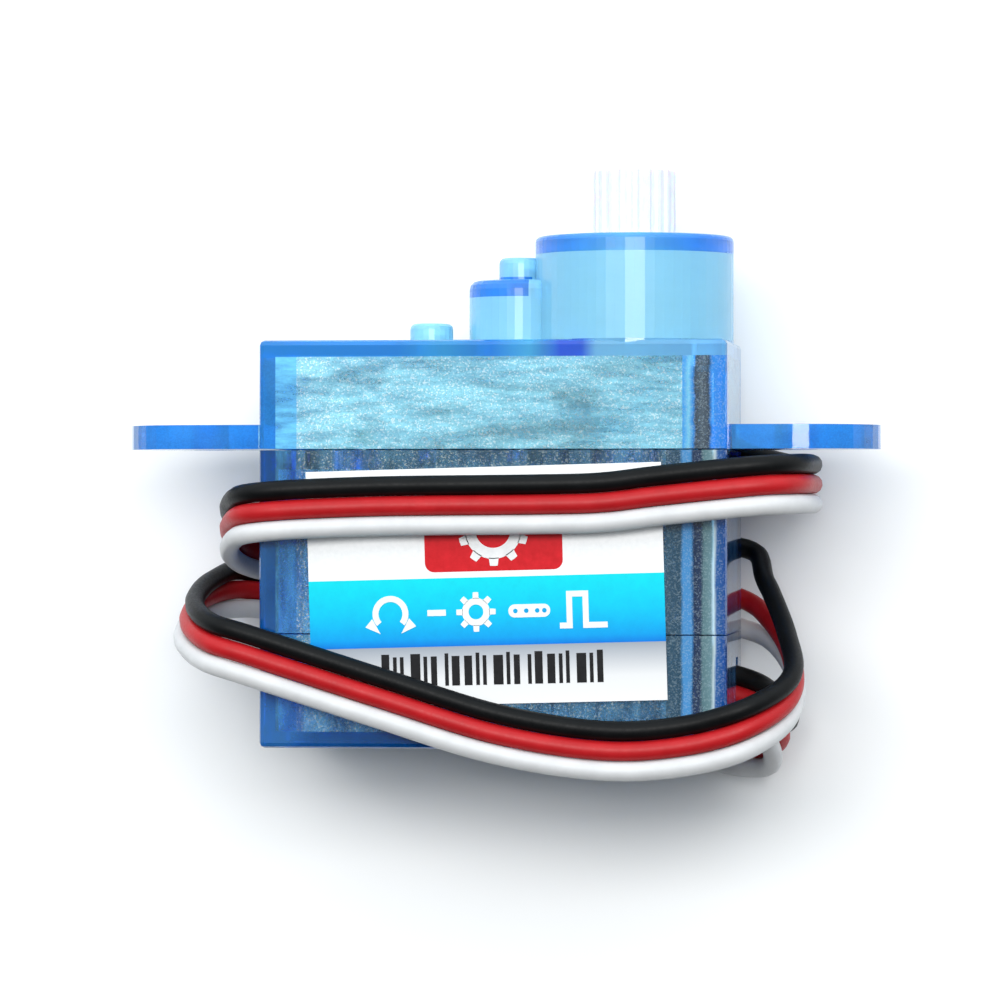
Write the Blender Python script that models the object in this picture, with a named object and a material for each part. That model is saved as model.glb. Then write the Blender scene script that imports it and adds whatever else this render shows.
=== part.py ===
"""Micro hobby servo motor, lying on its back with its lead wound about the case.

+X runs along the case, +Y along the output shaft and +Z out of the labelled face.
The origin is where the output shaft's axis meets the case's bottom face.
"""

import math

import bmesh
import bpy
import numpy as np
from mathutils import Vector

MM = 0.001

# Case
CASE_RIGHT = 4.35 * MM
CASE_LENGTH = 20.2 * MM
CASE_LEFT = CASE_RIGHT - CASE_LENGTH
CASE_HALF_DEPTH = 4.35 * MM
CASE_TOP = 17.56 * MM
UPPER_SEAM = 12.85 * MM
LOWER_SEAM = 4.92 * MM
SEAM_GAP = 0.06 * MM
WALL = 0.65 * MM
EDGE_ROUND = 0.22 * MM
POST = 1.7 * MM
MIDDLE_POST = 1.9 * MM
PLATE_UNDERSIDE = 12.0 * MM

# Output tower, gear boss and pin pegs on the top cover
TOWER_RADIUS = 4.32 * MM
TOWER_TOP = 22.13 * MM
TOWER_CAVITY_RADIUS = 3.95 * MM
CHAMBER_TOP = 21.42 * MM
TOWER_ROUND = 0.22 * MM
BOSS_RADIUS = 2.25 * MM
BOSS_TOP = 20.25 * MM
BOSS_CAVITY_RADIUS = 1.78 * MM
BOSS_ROUND = 0.4 * MM
PEG_RADIUS = 0.95 * MM
PEG_ROUND = 0.25 * MM
LEFT_PEG_TOP = 18.4 * MM
MIDDLE_PEG_TOP = 21.25 * MM
BOSS_WALL = 0.8 * MM
PEG_WALL = 0.5 * MM
PIN_HEADROOM = 0.1 * MM

# Mounting ears
EAR_HALF_WIDTH = 3.6 * MM
EAR_REACH = 6.35 * MM
EAR_THICKNESS = 1.05 * MM
EAR_HOLE_RADIUS = 0.9 * MM
EAR_HOLE_OUT = 2.75 * MM

# Shaft axes along X, left to right: motor, left pin, middle pin, output at zero
MIDDLE_AXIS = -4.99 * MM
LEFT_AXIS = MIDDLE_AXIS - 3.93 * MM
MOTOR_AXIS = LEFT_AXIS - 3.03 * MM

# Gear teeth
MOTOR_TEETH = 8
FIRST_GEAR_TEETH = 26
PINION_TEETH = 9
DISC_TEETH = 27
LAST_PINION_TEETH = 12
OUTPUT_TEETH = 30
TOOTH_SHARE = 0.40
FLANK_SLOPE = math.tan(math.radians(20))
ADDENDUM = 0.8
DEDENDUM = 1.05
PIN_RADIUS = 0.4 * MM
PIN_BORE_RADIUS = 0.45 * MM
PIN_SEAT_DEPTH = 0.5 * MM
MOTOR_WINDOW_RADIUS = 1.15 * MM
POT_WINDOW_RADIUS = 1.25 * MM

# Output shaft
SPLINE_RADIUS = 1.8 * MM
SPLINE_TEETH = 20
SPLINE_TOP = 25.0 * MM
JOURNAL_RADIUS = 1.92 * MM
BEARING_RADIUS = 2.0 * MM
HORN_SCREW_RADIUS = 0.75 * MM
HORN_SCREW_DEPTH = 3.4 * MM
HUB_RADIUS = 1.6 * MM
POT_SHAFT_RADIUS = 0.9 * MM

# Screws
SCREW_INSET = 1.0 * MM
SCREW_RADIUS = 0.38 * MM
SCREW_HOLE_RADIUS = 0.45 * MM
SCREW_HEAD_RADIUS = 0.68 * MM
SCREW_TIP = 15.95 * MM
HEAD_RECESS_RADIUS = 0.75 * MM
HEAD_RECESS_DEPTH = 0.75 * MM

# Motor and potentiometer
MOTOR_RADIUS = 2.9 * MM
MOTOR_TOP = 11.9 * MM
MOTOR_BOTTOM = 5.3 * MM
POT_RADIUS = 2.95 * MM
POT_TOP = 11.9 * MM
POT_BOTTOM = 9.6 * MM
SHAFT_BORE_RADIUS = 0.43 * MM
TOUCH_GAP = 0.05 * MM

# Circuit board
BOARD_LOW = 3.95 * MM
BOARD_HIGH = 4.55 * MM
BOARD_GAP = 0.15 * MM

# Label
LABEL_SIZE = (15.34 * MM, 10.15 * MM)
LABEL_CENTRE = (-5.98 * MM, 7.02 * MM)
LABEL_TILT = math.radians(1.6)
LABEL_THICKNESS = 0.07 * MM
LABEL_GAP = 0.03 * MM

# Lead
WIRE_DIAMETER = 0.82 * MM
WIRE_POINTS = 76
BEND_WEIGHT = 2.0
SLOT_CENTRE = (2.2 * MM, -1.6 * MM)
SLOT_HALF = (1.6 * MM, 0.6 * MM)

# Connector on the lead's far end
HOUSING_LOW = (-16.15 * MM, 9.8 * MM, -7.15 * MM)
HOUSING_HIGH = (-2.15 * MM, 17.4 * MM, -4.65 * MM)
CONTACT_PITCH = 2.54 * MM
CONTACT_HOLE_HALF = 0.72 * MM
CONTACT_HALF = 0.55 * MM
WINDOW_FROM_FACE = 4.6 * MM
WINDOW_LENGTH = 2.2 * MM

# The lead's route, chosen by hand, in millimetres. Each row holds a point of the red
# wire, the direction from the red wire to the black one, and how far black and white
# lie from red.
LEAD_ROUTE = (
    ((-2.2, 3.30, -0.9), (0, 0, 1), 0.86, 0.86),
    ((1.0, 2.70, -1.3), (0, 0.7, 0.7), 0.86, 0.86),
    ((4.0, 2.20, -1.6), (0, 1, 0), 0.86, 0.86),
    ((5.5, 1.50, -2.5), (0.1, 1, 0), 0.86, 0.86),
    ((6.1, 0.20, -4.4), (0.4, 0.9, 0), 0.86, 0.86),
    ((5.0, -0.45, -6.1), (0.2, 1, 0), 0.86, 0.86),
    ((2.2, 0.05, -6.62), (0, 1, 0), 0.86, 0.86),
    ((-6.0, 2.90, -6.66), (0, 1, 0), 0.86, 0.86),
    ((-14.0, 5.65, -6.62), (0, 1, 0), 0.86, 0.86),
    ((-17.9, 6.60, -5.7), (0.1, 0.9, -0.4), 0.86, 0.86),
    ((-19.45, 6.35, -2.8), (0.4, 0.9, 0), 0.86, 0.86),
    ((-19.5, 5.45, 1.2), (0.3, 0.95, 0), 0.86, 0.86),
    ((-18.2, 4.62, 4.3), (0.1, 1, 0), 0.86, 0.86),
    ((-16.0, 3.95, 5.1), (0, 1, 0), 0.86, 0.86),
    ((-10.35, 2.15, 4.98), (0, 1, 0), 0.86, 0.86),
    ((-5.4, 0.67, 4.98), (0, 1, 0), 0.86, 0.86),
    ((-0.8, 0.00, 4.98), (0, 1, 0), 0.86, 0.86),
    ((2.8, 0.26, 5.0), (0, 1, 0), 0.86, 0.86),
    ((5.4, 1.06, 4.85), (0, 1, 0.2), 0.86, 0.86),
    ((6.95, 2.25, 2.9), (0.1, 1, 0.15), 0.86, 0.86),
    ((6.85, 3.80, 0.0), (-0.2, 1, 0), 1.05, 0.95),
    ((5.80, 5.30, -2.9), (-0.25, 1, 0), 1.7, 1.05),
    ((4.15, 6.35, -5.05), (0, 1, 0), 2.2, 1.3),
    ((0.5, 7.00, -5.5), (0, 1, 0), 1.6, 1.15),
    ((-7.0, 7.70, -5.4), (0, 1, 0), 1.0, 0.95),
    ((-14.2, 8.05, -5.4), (0, 1, 0), 0.88, 0.88),
    ((-17.2, 8.40, -3.9), (0, 1, 0), 0.86, 0.86),
    ((-17.85, 9.00, -0.6), (0, 1, 0), 0.86, 0.86),
    ((-17.3, 9.75, 2.8), (0, 1, 0), 0.86, 0.86),
    ((-15.8, 10.15, 5.0), (0, 1, 0), 0.86, 0.86),
    ((-11.0, 10.40, 5.0), (0, 1, 0), 0.86, 0.86),
    ((-4.0, 10.49, 4.98), (0, 1, 0), 0.86, 0.86),
    ((-1.0, 10.57, 4.98), (0, 1, 0), 0.86, 0.86),
    ((1.5, 10.86, 5.0), (0, 1, 0), 0.86, 0.86),
    ((5.4, 11.26, 5.05), (0, 1, 0), 0.86, 0.86),
    ((7.1, 11.36, 4.1), (0, 1, 0), 0.86, 0.86),
    ((7.6, 11.38, 1.8), (0, 1, 0), 0.86, 0.86),
    ((7.55, 11.38, -3.0), (0, 1, 0), 0.86, 0.86),
    ((6.3, 11.45, -5.6), (0, 1, 0), 0.86, 0.86),
    ((3.7, 12.00, -6.55), (0, 1, 0), 1.1, 1.1),
    ((1.1, 12.95, -6.3), (0, 1, 0), 1.9, 1.9),
    ((-0.8, 13.55, -5.92), (0, 1, 0), 2.54, 2.54),
    ((-3.3, 13.60, -5.9), (0, 1, 0), 2.54, 2.54),
)

ROUND_STEPS = 32
SMALL_STEPS = 16


def clear_scene():
    for thing in list(bpy.data.objects):
        bpy.data.objects.remove(thing)


def material(name, colour, roughness, metallic=0.0, transmission=0.0):
    finish = bpy.data.materials.new(name)
    finish.use_nodes = True
    shader = finish.node_tree.nodes["Principled BSDF"]
    shader.inputs["Base Color"].default_value = (*colour, 1.0)
    shader.inputs["Roughness"].default_value = roughness
    shader.inputs["Metallic"].default_value = metallic
    shader.inputs["Transmission Weight"].default_value = transmission
    return finish


# Making and combining solids


def finish_object(name, mesh_builder, finish, axis_x=0.0):
    """Turns a bmesh into an object whose origin is on the line X = axis_x, Z = 0."""
    bmesh.ops.recalc_face_normals(mesh_builder, faces=mesh_builder.faces)
    mesh = bpy.data.meshes.new(name)
    mesh_builder.to_mesh(mesh)
    mesh_builder.free()
    mesh.shade_smooth()
    mesh.set_sharp_from_angle(angle=math.radians(35))
    solid = bpy.data.objects.new(name, mesh)
    solid.location = (axis_x, 0.0, 0.0)
    bpy.context.scene.collection.objects.link(solid)
    if finish:
        mesh.materials.append(finish)
    return solid


def box_mesh(low, high):
    size = [top - bottom for bottom, top in zip(low, high)]
    middle = [(top + bottom) / 2 for bottom, top in zip(low, high)]
    shape = bmesh.new()
    bmesh.ops.create_cube(shape, size=1.0)
    bmesh.ops.scale(shape, vec=size, verts=shape.verts)
    bmesh.ops.translate(shape, vec=middle, verts=shape.verts)
    return shape


def box(name, low, high, finish=None):
    return finish_object(name, box_mesh(low, high), finish)


def rounded_box(name, low, high, radius, finish, square_side=None):
    """A box with rounded edges. square_side is the Y height whose edges stay sharp."""
    shape = box_mesh(low, high)
    edges = [
        edge
        for edge in shape.edges
        if square_side is None or any(abs(v.co.y - square_side) > MM / 10 for v in edge.verts)
    ]
    bmesh.ops.bevel(shape, geom=edges, offset=radius, segments=2, profile=0.5, affect="EDGES")
    return finish_object(name, shape, finish)


def prism_mesh(outline, low, high):
    """Extrudes an outline of (x, z) points along Y."""
    shape = bmesh.new()
    corners = [shape.verts.new((x, low, z)) for x, z in outline]
    base = shape.faces.new(corners)
    grown = bmesh.ops.extrude_face_region(shape, geom=[base])
    raised = [item for item in grown["geom"] if isinstance(item, bmesh.types.BMVert)]
    bmesh.ops.translate(shape, vec=(0.0, high - low, 0.0), verts=raised)
    return shape


def prism(name, outline, low, high, finish=None, axis_x=0.0):
    return finish_object(name, prism_mesh(outline, low, high), finish, axis_x)


def circle(radius, steps=ROUND_STEPS, centre=(0.0, 0.0)):
    turns = [2 * math.pi * step / steps for step in range(steps)]
    return [(centre[0] + radius * math.cos(a), centre[1] + radius * math.sin(a)) for a in turns]


def cylinder(name, radius, low, high, finish=None, axis_x=0.0, steps=ROUND_STEPS):
    return prism(name, circle(radius, steps), low, high, finish, axis_x)


def domed(name, radius, low, high, edge_round, axis_x=0.0, steps=ROUND_STEPS):
    """A cylinder whose upper edge is rounded over."""
    shape = prism_mesh(circle(radius, steps), low, high)
    rim = [e for e in shape.edges if all(abs(v.co.y - high) < MM / 100 for v in e.verts)]
    bmesh.ops.bevel(shape, geom=rim, offset=edge_round, segments=3, profile=0.5, affect="EDGES")
    return finish_object(name, shape, None, axis_x)


def turned(name, profile, finish, axis_x=0.0, steps=ROUND_STEPS):
    """Spins a closed profile of (radius, y) points about the Y axis."""
    shape = bmesh.new()
    rings = []
    for step in range(steps):
        angle = 2 * math.pi * step / steps
        across, along = math.cos(angle), math.sin(angle)
        rings.append([shape.verts.new((r * across, y, r * along)) for r, y in profile])
    for step in range(steps):
        ring, following = rings[step], rings[(step + 1) % steps]
        for index in range(len(profile)):
            after = (index + 1) % len(profile)
            shape.faces.new((ring[index], ring[after], following[after], following[index]))
    return finish_object(name, shape, finish, axis_x)


def tube(name, outer, inner, low, high, finish, axis_x=0.0, steps=ROUND_STEPS):
    profile = ((inner, low), (outer, low), (outer, high), (inner, high))
    return turned(name, profile, finish, axis_x, steps)


def as_tool(solid):
    solid.hide_render = True
    solid.display_type = "WIRE"
    return solid


def combine(solid, tool, operation):
    modifier = solid.modifiers.new(tool.name, "BOOLEAN")
    modifier.operation = operation
    modifier.solver = "EXACT"
    modifier.object = as_tool(tool)


def cut(solid, tool):
    combine(solid, tool, "DIFFERENCE")


def add(solid, tool):
    combine(solid, tool, "UNION")


def notched_outline(low_x, high_x, half_z, notch, corners):
    """A rectangle of (x, z) with a square notch in each named corner, as (side, depth)."""
    outline = []
    for side_x, side_z in ((-1, -1), (1, -1), (1, 1), (-1, 1)):
        x = high_x if side_x > 0 else low_x
        z = side_z * half_z
        if (side_x, side_z) not in corners:
            outline.append((x, z))
            continue
        inner_x = x - side_x * notch
        inner_z = z - side_z * notch
        step = [(inner_x, z), (inner_x, inner_z), (x, inner_z)]
        outline.extend(step if side_x * side_z < 0 else step[::-1])
    return outline


def case_cavity(name, low, high, notch, corners, shrink=WALL):
    outline = notched_outline(
        CASE_LEFT + shrink, CASE_RIGHT - shrink, CASE_HALF_DEPTH - shrink, notch - shrink, corners
    )
    return prism(name, outline, low, high)


# Case

ALL_CORNERS = ((-1, -1), (1, -1), (1, 1), (-1, 1))
SCREW_CORNERS = ((1, 1), (-1, -1))


def screw_axis(corner):
    side_x, side_z = corner
    x = (CASE_RIGHT if side_x > 0 else CASE_LEFT) - side_x * SCREW_INSET
    return x, side_z * (CASE_HALF_DEPTH - SCREW_INSET)


def drill_screws(solid, radius, low, high):
    for number, corner in enumerate(SCREW_CORNERS):
        outline = circle(radius, SMALL_STEPS, screw_axis(corner))
        cut(solid, prism(f"{solid.name}_screw_drill_{number}", outline, low, high))


def ear_outline(side):
    """One ear: it grows from the case's end and finishes in a half circle about its hole."""
    case_end = CASE_RIGHT if side > 0 else CASE_LEFT
    centre = case_end + side * (EAR_REACH - EAR_HALF_WIDTH)
    steps = 16
    turns = [math.pi * (step / steps - 0.5) for step in range(steps + 1)]
    reach = side * EAR_HALF_WIDTH
    arc = [(centre + reach * math.cos(a), EAR_HALF_WIDTH * math.sin(a)) for a in turns]
    root = case_end - side * WALL / 2
    return [(root, -EAR_HALF_WIDTH)] + arc + [(root, EAR_HALF_WIDTH)]


def add_tower_and_pegs(cover):
    buried = CASE_TOP - WALL / 2
    boss_root = BOSS_TOP - WALL / 2
    add(cover, domed("tower", TOWER_RADIUS, buried, TOWER_TOP, TOWER_ROUND, steps=64))
    add(cover, domed("boss", BOSS_RADIUS, buried, BOSS_TOP, BOSS_ROUND, MIDDLE_AXIS, 40))
    add(cover, domed("middle_peg", PEG_RADIUS, boss_root, MIDDLE_PEG_TOP, PEG_ROUND, MIDDLE_AXIS, 24))
    add(cover, domed("left_peg", PEG_RADIUS, buried, LEFT_PEG_TOP, PEG_ROUND, LEFT_AXIS, 24))


def add_ears(cover, low):
    for side, word in ((-1, "left"), (1, "right")):
        add(cover, prism(f"{word}_ear", ear_outline(side), low, low + EAR_THICKNESS))
        hole_x = (CASE_RIGHT if side > 0 else CASE_LEFT) + side * EAR_HOLE_OUT
        drill = circle(EAR_HOLE_RADIUS, 20, (hole_x, 0.0))
        cut(cover, prism(f"{word}_ear_drill", drill, low - MM, low + 2 * MM))


def hollow_top_cover(cover, low):
    ceiling = CASE_TOP - WALL
    below = ceiling - 0.5 * MM
    boss_roof = BOSS_TOP - BOSS_WALL
    cut(cover, case_cavity("gear_cavity", low - MM, ceiling, POST, SCREW_CORNERS))
    cut(cover, cylinder("tower_cavity", TOWER_CAVITY_RADIUS, below, CHAMBER_TOP, steps=64))
    cut(cover, cylinder("boss_cavity", BOSS_CAVITY_RADIUS, below, boss_roof, axis_x=MIDDLE_AXIS))
    cut(cover, cylinder("bearing", BEARING_RADIUS, CHAMBER_TOP - MM, TOWER_TOP + MM))
    sockets = (
        ("left_pin_socket", LEFT_AXIS, ceiling - MM, LEFT_PEG_TOP - PEG_WALL),
        ("middle_pin_socket", MIDDLE_AXIS, boss_roof - MM, MIDDLE_PEG_TOP - PEG_WALL),
    )
    for name, axis, floor, roof in sockets:
        cut(cover, prism(name, circle(PIN_BORE_RADIUS, SMALL_STEPS, (axis, 0.0)), floor, roof))


def make_top_cover(finish):
    low = UPPER_SEAM + SEAM_GAP / 2
    front = (CASE_LEFT, low, -CASE_HALF_DEPTH)
    back = (CASE_RIGHT, CASE_TOP, CASE_HALF_DEPTH)
    cover = rounded_box("top_cover", front, back, EDGE_ROUND, finish, square_side=low)
    add_tower_and_pegs(cover)
    add_ears(cover, low)
    hollow_top_cover(cover, low)
    drill_screws(cover, SCREW_HOLE_RADIUS, low - MM, SCREW_TIP + 0.2 * MM)


def make_middle_case(finish):
    low = LOWER_SEAM + SEAM_GAP / 2
    high = UPPER_SEAM - SEAM_GAP / 2
    shell = make_sleeve("middle_case", low, high, finish)
    cut(shell, case_cavity("motor_bay", low - MM, PLATE_UNDERSIDE, MIDDLE_POST, ALL_CORNERS))
    below, above = PLATE_UNDERSIDE - MM, high + MM
    cut(shell, cylinder("motor_window", MOTOR_WINDOW_RADIUS, below, above, axis_x=MOTOR_AXIS, steps=24))
    cut(shell, cylinder("pot_window", POT_WINDOW_RADIUS, below, above, steps=24))
    seat_floor = high - PIN_SEAT_DEPTH
    for name, axis in (("left_pin_seat", LEFT_AXIS), ("middle_pin_seat", MIDDLE_AXIS)):
        cut(shell, prism(name, circle(PIN_BORE_RADIUS, SMALL_STEPS, (axis, 0.0)), seat_floor, above))
    drill_screws(shell, SCREW_HOLE_RADIUS, low - MM, high + MM)


def make_sleeve(name, low, high, finish):
    """A case-sized block whose four upright edges are rounded."""
    shape = box_mesh((CASE_LEFT, low, -CASE_HALF_DEPTH), (CASE_RIGHT, high, CASE_HALF_DEPTH))
    upright = [edge for edge in shape.edges if abs(edge.verts[0].co.y - edge.verts[1].co.y) > MM / 10]
    bmesh.ops.bevel(shape, geom=upright, offset=EDGE_ROUND, segments=2, profile=0.5, affect="EDGES")
    return finish_object(name, shape, finish)


def make_bottom_cover(finish):
    high = LOWER_SEAM - SEAM_GAP / 2
    low_corner = (CASE_LEFT, 0.0, -CASE_HALF_DEPTH)
    high_corner = (CASE_RIGHT, high, CASE_HALF_DEPTH)
    cover = rounded_box("bottom_cover", low_corner, high_corner, EDGE_ROUND, finish, square_side=high)
    cut(cover, case_cavity("board_bay", WALL, high + MM, MIDDLE_POST, ALL_CORNERS))
    slot_y, slot_z = SLOT_CENTRE
    half_y, half_z = SLOT_HALF
    slot = box(
        "lead_slot",
        (CASE_RIGHT - WALL - MM, slot_y - half_y, slot_z - half_z),
        (CASE_RIGHT + MM, slot_y + half_y, slot_z + half_z),
    )
    cut(cover, slot)
    drill_screws(cover, SCREW_HOLE_RADIUS, -MM, high + MM)
    for number, corner in enumerate(SCREW_CORNERS):
        outline = circle(HEAD_RECESS_RADIUS, 20, screw_axis(corner))
        cut(cover, prism(f"head_recess_{number}", outline, -MM, HEAD_RECESS_DEPTH))


def make_screw(name, corner, finish):
    axis_x, axis_z = screw_axis(corner)
    head_low, head_high = 0.15 * MM, 0.65 * MM
    half_slot, half_cross = 0.14 * MM, 0.45 * MM
    slot_floor = head_low + 0.25 * MM
    screw = prism(name, circle(SCREW_RADIUS, SMALL_STEPS), head_high - 0.2 * MM, SCREW_TIP, finish)
    tools = [prism(f"{name}_head", circle(SCREW_HEAD_RADIUS, 20), head_low, head_high)]
    add(screw, tools[0])
    for number, (half_x, half_z) in enumerate(((half_cross, half_slot), (half_slot, half_cross))):
        slot = box(f"{name}_cross_{number}", (-half_x, -MM, -half_z), (half_x, slot_floor, half_z))
        cut(screw, slot)
        tools.append(slot)
    for tool in tools:
        tool.parent = screw
    screw.location = (axis_x, 0.0, axis_z)


def make_label(finish):
    width, height = LABEL_SIZE
    shape = bmesh.new()
    bmesh.ops.create_cube(shape, size=1.0)
    bmesh.ops.scale(shape, vec=(width, height, LABEL_THICKNESS), verts=shape.verts)
    label = finish_object("label", shape, finish)
    lift = CASE_HALF_DEPTH + LABEL_GAP + LABEL_THICKNESS / 2
    label.location = (*LABEL_CENTRE, lift)
    label.rotation_euler = (0.0, 0.0, LABEL_TILT)
    return label


# Gear train


def gear_outline(teeth, module, toward):
    """Straight-sided teeth, with a tooth's middle at the angle toward."""
    pitch_radius = teeth * module / 2
    root = pitch_radius - DEDENDUM * module
    tip = pitch_radius + ADDENDUM * module
    outline = []
    for tooth in range(teeth):
        middle = toward + 2 * math.pi * tooth / teeth
        for radius, side in ((root, -1), (tip, -1), (tip, 1), (root, 1)):
            width = TOOTH_SHARE * math.pi * module - 2 * FLANK_SLOPE * (radius - pitch_radius)
            angle = middle + side * width / (2 * radius)
            outline.append((radius * math.cos(angle), radius * math.sin(angle)))
    return outline


def pair_module(distance, teeth_a, teeth_b):
    return 2 * distance / (teeth_a + teeth_b)


# A driver has a tooth towards the gear that it meets, and a driven gear has a gap there.
LEFTWARD = math.pi
RIGHTWARD = 0.0


def gap_toward(direction, teeth):
    return direction + math.pi / teeth


TRAIN_MODULE = pair_module(MIDDLE_AXIS - LEFT_AXIS, PINION_TEETH, DISC_TEETH)
MOTOR_MODULE = pair_module(LEFT_AXIS - MOTOR_AXIS, MOTOR_TEETH, FIRST_GEAR_TEETH)
OUTPUT_MODULE = pair_module(-MIDDLE_AXIS, LAST_PINION_TEETH, OUTPUT_TEETH)


def compound_gear(name, disc, disc_span, pinion, pinion_top, finish, axis_x):
    """A disc with a pinion above it on one pin bore."""
    low, high = disc_span
    gear = prism(name, disc, low, high, finish, axis_x)
    add(gear, prism(f"{name}_pinion", pinion, (low + high) / 2, pinion_top, axis_x=axis_x))
    bore = circle(PIN_BORE_RADIUS, SMALL_STEPS)
    cut(gear, prism(f"{name}_bore", bore, low - MM, pinion_top + MM, axis_x=axis_x))


def make_gears(finish):
    first_disc = gear_outline(
        FIRST_GEAR_TEETH, MOTOR_MODULE, gap_toward(LEFTWARD, FIRST_GEAR_TEETH)
    )
    disc_facing_left = gear_outline(DISC_TEETH, TRAIN_MODULE, gap_toward(LEFTWARD, DISC_TEETH))
    disc_facing_right = gear_outline(DISC_TEETH, TRAIN_MODULE, gap_toward(RIGHTWARD, DISC_TEETH))
    pinion_facing_right = gear_outline(PINION_TEETH, TRAIN_MODULE, RIGHTWARD)
    pinion_facing_left = gear_outline(PINION_TEETH, TRAIN_MODULE, LEFTWARD)
    last_pinion = gear_outline(LAST_PINION_TEETH, OUTPUT_MODULE, RIGHTWARD)
    rows = (
        ("first_gear", first_disc, 13.25, 13.9, pinion_facing_right, 14.75, LEFT_AXIS),
        ("second_gear", disc_facing_left, 14.1, 14.7, pinion_facing_left, 15.55, MIDDLE_AXIS),
        ("third_gear", disc_facing_right, 14.9, 15.5, pinion_facing_right, 16.35, LEFT_AXIS),
        ("fourth_gear", disc_facing_left, 15.7, 16.3, last_pinion, 19.25, MIDDLE_AXIS),
    )
    for name, disc, low, high, pinion, top, axis in rows:
        compound_gear(name, disc, (low * MM, high * MM), pinion, top * MM, finish, axis)


def make_pins(finish):
    low = UPPER_SEAM - SEAM_GAP / 2 - PIN_SEAT_DEPTH + PIN_HEADROOM
    rows = (
        ("left_gear_pin", LEFT_AXIS, LEFT_PEG_TOP - PEG_WALL - PIN_HEADROOM),
        ("middle_gear_pin", MIDDLE_AXIS, MIDDLE_PEG_TOP - PEG_WALL - PIN_HEADROOM),
    )
    for name, axis, high in rows:
        cylinder(name, PIN_RADIUS, low, high, finish, axis, SMALL_STEPS)


def spline_outline(radius, teeth, depth):
    outline = []
    root = radius - depth
    for tooth in range(teeth):
        for share, reach in ((0.0, root), (0.3, root), (0.5, radius), (0.8, radius)):
            angle = 2 * math.pi * (tooth + share) / teeth
            outline.append((reach * math.cos(angle), reach * math.sin(angle)))
    return outline


def d_outline(radius, flat, steps=SMALL_STEPS):
    """A circle with a flat cut off at z = flat."""
    return [(x, min(z, flat)) for x, z in circle(radius, steps)]


def make_output_gear(finish):
    """The last gear, its splined shaft above and its hub with a D socket below."""
    teeth = gear_outline(OUTPUT_TEETH, OUTPUT_MODULE, gap_toward(LEFTWARD, OUTPUT_TEETH))
    gear_low, gear_high = 16.6 * MM, 19.5 * MM
    gear = prism("output_gear", teeth, gear_low, gear_high, finish)
    add(gear, cylinder("output_journal", JOURNAL_RADIUS, gear_high - MM, TOWER_TOP - 0.1 * MM))
    spline = spline_outline(SPLINE_RADIUS, SPLINE_TEETH, 0.1 * MM)
    add(gear, prism("output_spline", spline, TOWER_TOP - MM, SPLINE_TOP))
    add(gear, cylinder("output_hub", HUB_RADIUS, 13.3 * MM, gear_low + MM, steps=24))
    hole_floor = SPLINE_TOP - HORN_SCREW_DEPTH
    hole = circle(HORN_SCREW_RADIUS, SMALL_STEPS)
    cut(gear, prism("horn_hole", hole, hole_floor, SPLINE_TOP + MM))
    socket = d_outline(POT_SHAFT_RADIUS + 0.06 * MM, 0.56 * MM)
    cut(gear, prism("pot_socket", socket, 12.3 * MM, 15.6 * MM))


# Motor


def make_motor(steel, brass, copper, magnet, plastic):
    wall = 0.25 * MM
    bore = 0.5 * MM
    boss_radius = 1.0 * MM
    boss_top = MOTOR_TOP + 0.7 * MM
    inner = MOTOR_RADIUS - wall
    inside = inner - 0.07 * MM
    profile = (
        (bore, MOTOR_TOP - wall),
        (inner, MOTOR_TOP - wall),
        (inner, MOTOR_BOTTOM),
        (MOTOR_RADIUS, MOTOR_BOTTOM),
        (MOTOR_RADIUS, MOTOR_TOP),
        (boss_radius, MOTOR_TOP),
        (boss_radius, boss_top),
        (bore, boss_top),
    )
    turned("motor_can", profile, steel, MOTOR_AXIS)
    tube("motor_magnet", inside, 1.95 * MM, 6.4 * MM, 11.2 * MM, magnet, MOTOR_AXIS)
    tube("motor_end_cap", inside, bore, MOTOR_BOTTOM, 5.9 * MM, plastic, MOTOR_AXIS)
    tube("motor_armature", 1.8 * MM, SHAFT_BORE_RADIUS, 6.6 * MM, 11.0 * MM, copper, MOTOR_AXIS, 24)
    cylinder("motor_shaft", PIN_RADIUS, 5.5 * MM, 14.1 * MM, steel, MOTOR_AXIS, SMALL_STEPS)
    teeth = gear_outline(MOTOR_TEETH, MOTOR_MODULE, RIGHTWARD)
    pinion = prism("motor_pinion", teeth, 13.1 * MM, 14.0 * MM, brass, MOTOR_AXIS)
    bore_outline = circle(SHAFT_BORE_RADIUS, SMALL_STEPS)
    cut(pinion, prism("motor_pinion_bore", bore_outline, 13.0 * MM, 15.0 * MM, axis_x=MOTOR_AXIS))
    for number, z in enumerate((-1.6 * MM, 1.6 * MM), 1):
        low = (MOTOR_AXIS - 0.4 * MM, BOARD_HIGH + TOUCH_GAP, z - 0.1 * MM)
        high = (MOTOR_AXIS + 0.4 * MM, MOTOR_BOTTOM - TOUCH_GAP, z + 0.1 * MM)
        box(f"motor_terminal_{number}", low, high, brass)


# Potentiometer and circuit board


def make_potentiometer(body_finish, shaft_finish, steel):
    tube("pot_body", POT_RADIUS, 1.1 * MM, POT_BOTTOM, POT_TOP, body_finish)
    shaft = d_outline(POT_SHAFT_RADIUS, 0.5 * MM)
    stem = prism("pot_shaft", shaft, 12.2 * MM, 15.4 * MM, shaft_finish)
    add(stem, cylinder("pot_rotor", 1.02 * MM, POT_BOTTOM + 0.2 * MM, 12.3 * MM, steps=SMALL_STEPS))
    for number, offset in enumerate((-1.8, 0.0, 1.8), 1):
        low = (offset * MM - 0.25 * MM, BOARD_HIGH + TOUCH_GAP, 1.9 * MM)
        high = (offset * MM + 0.25 * MM, POT_BOTTOM - TOUCH_GAP, 2.1 * MM)
        box(f"pot_leg_{number}", low, high, steel)


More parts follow.
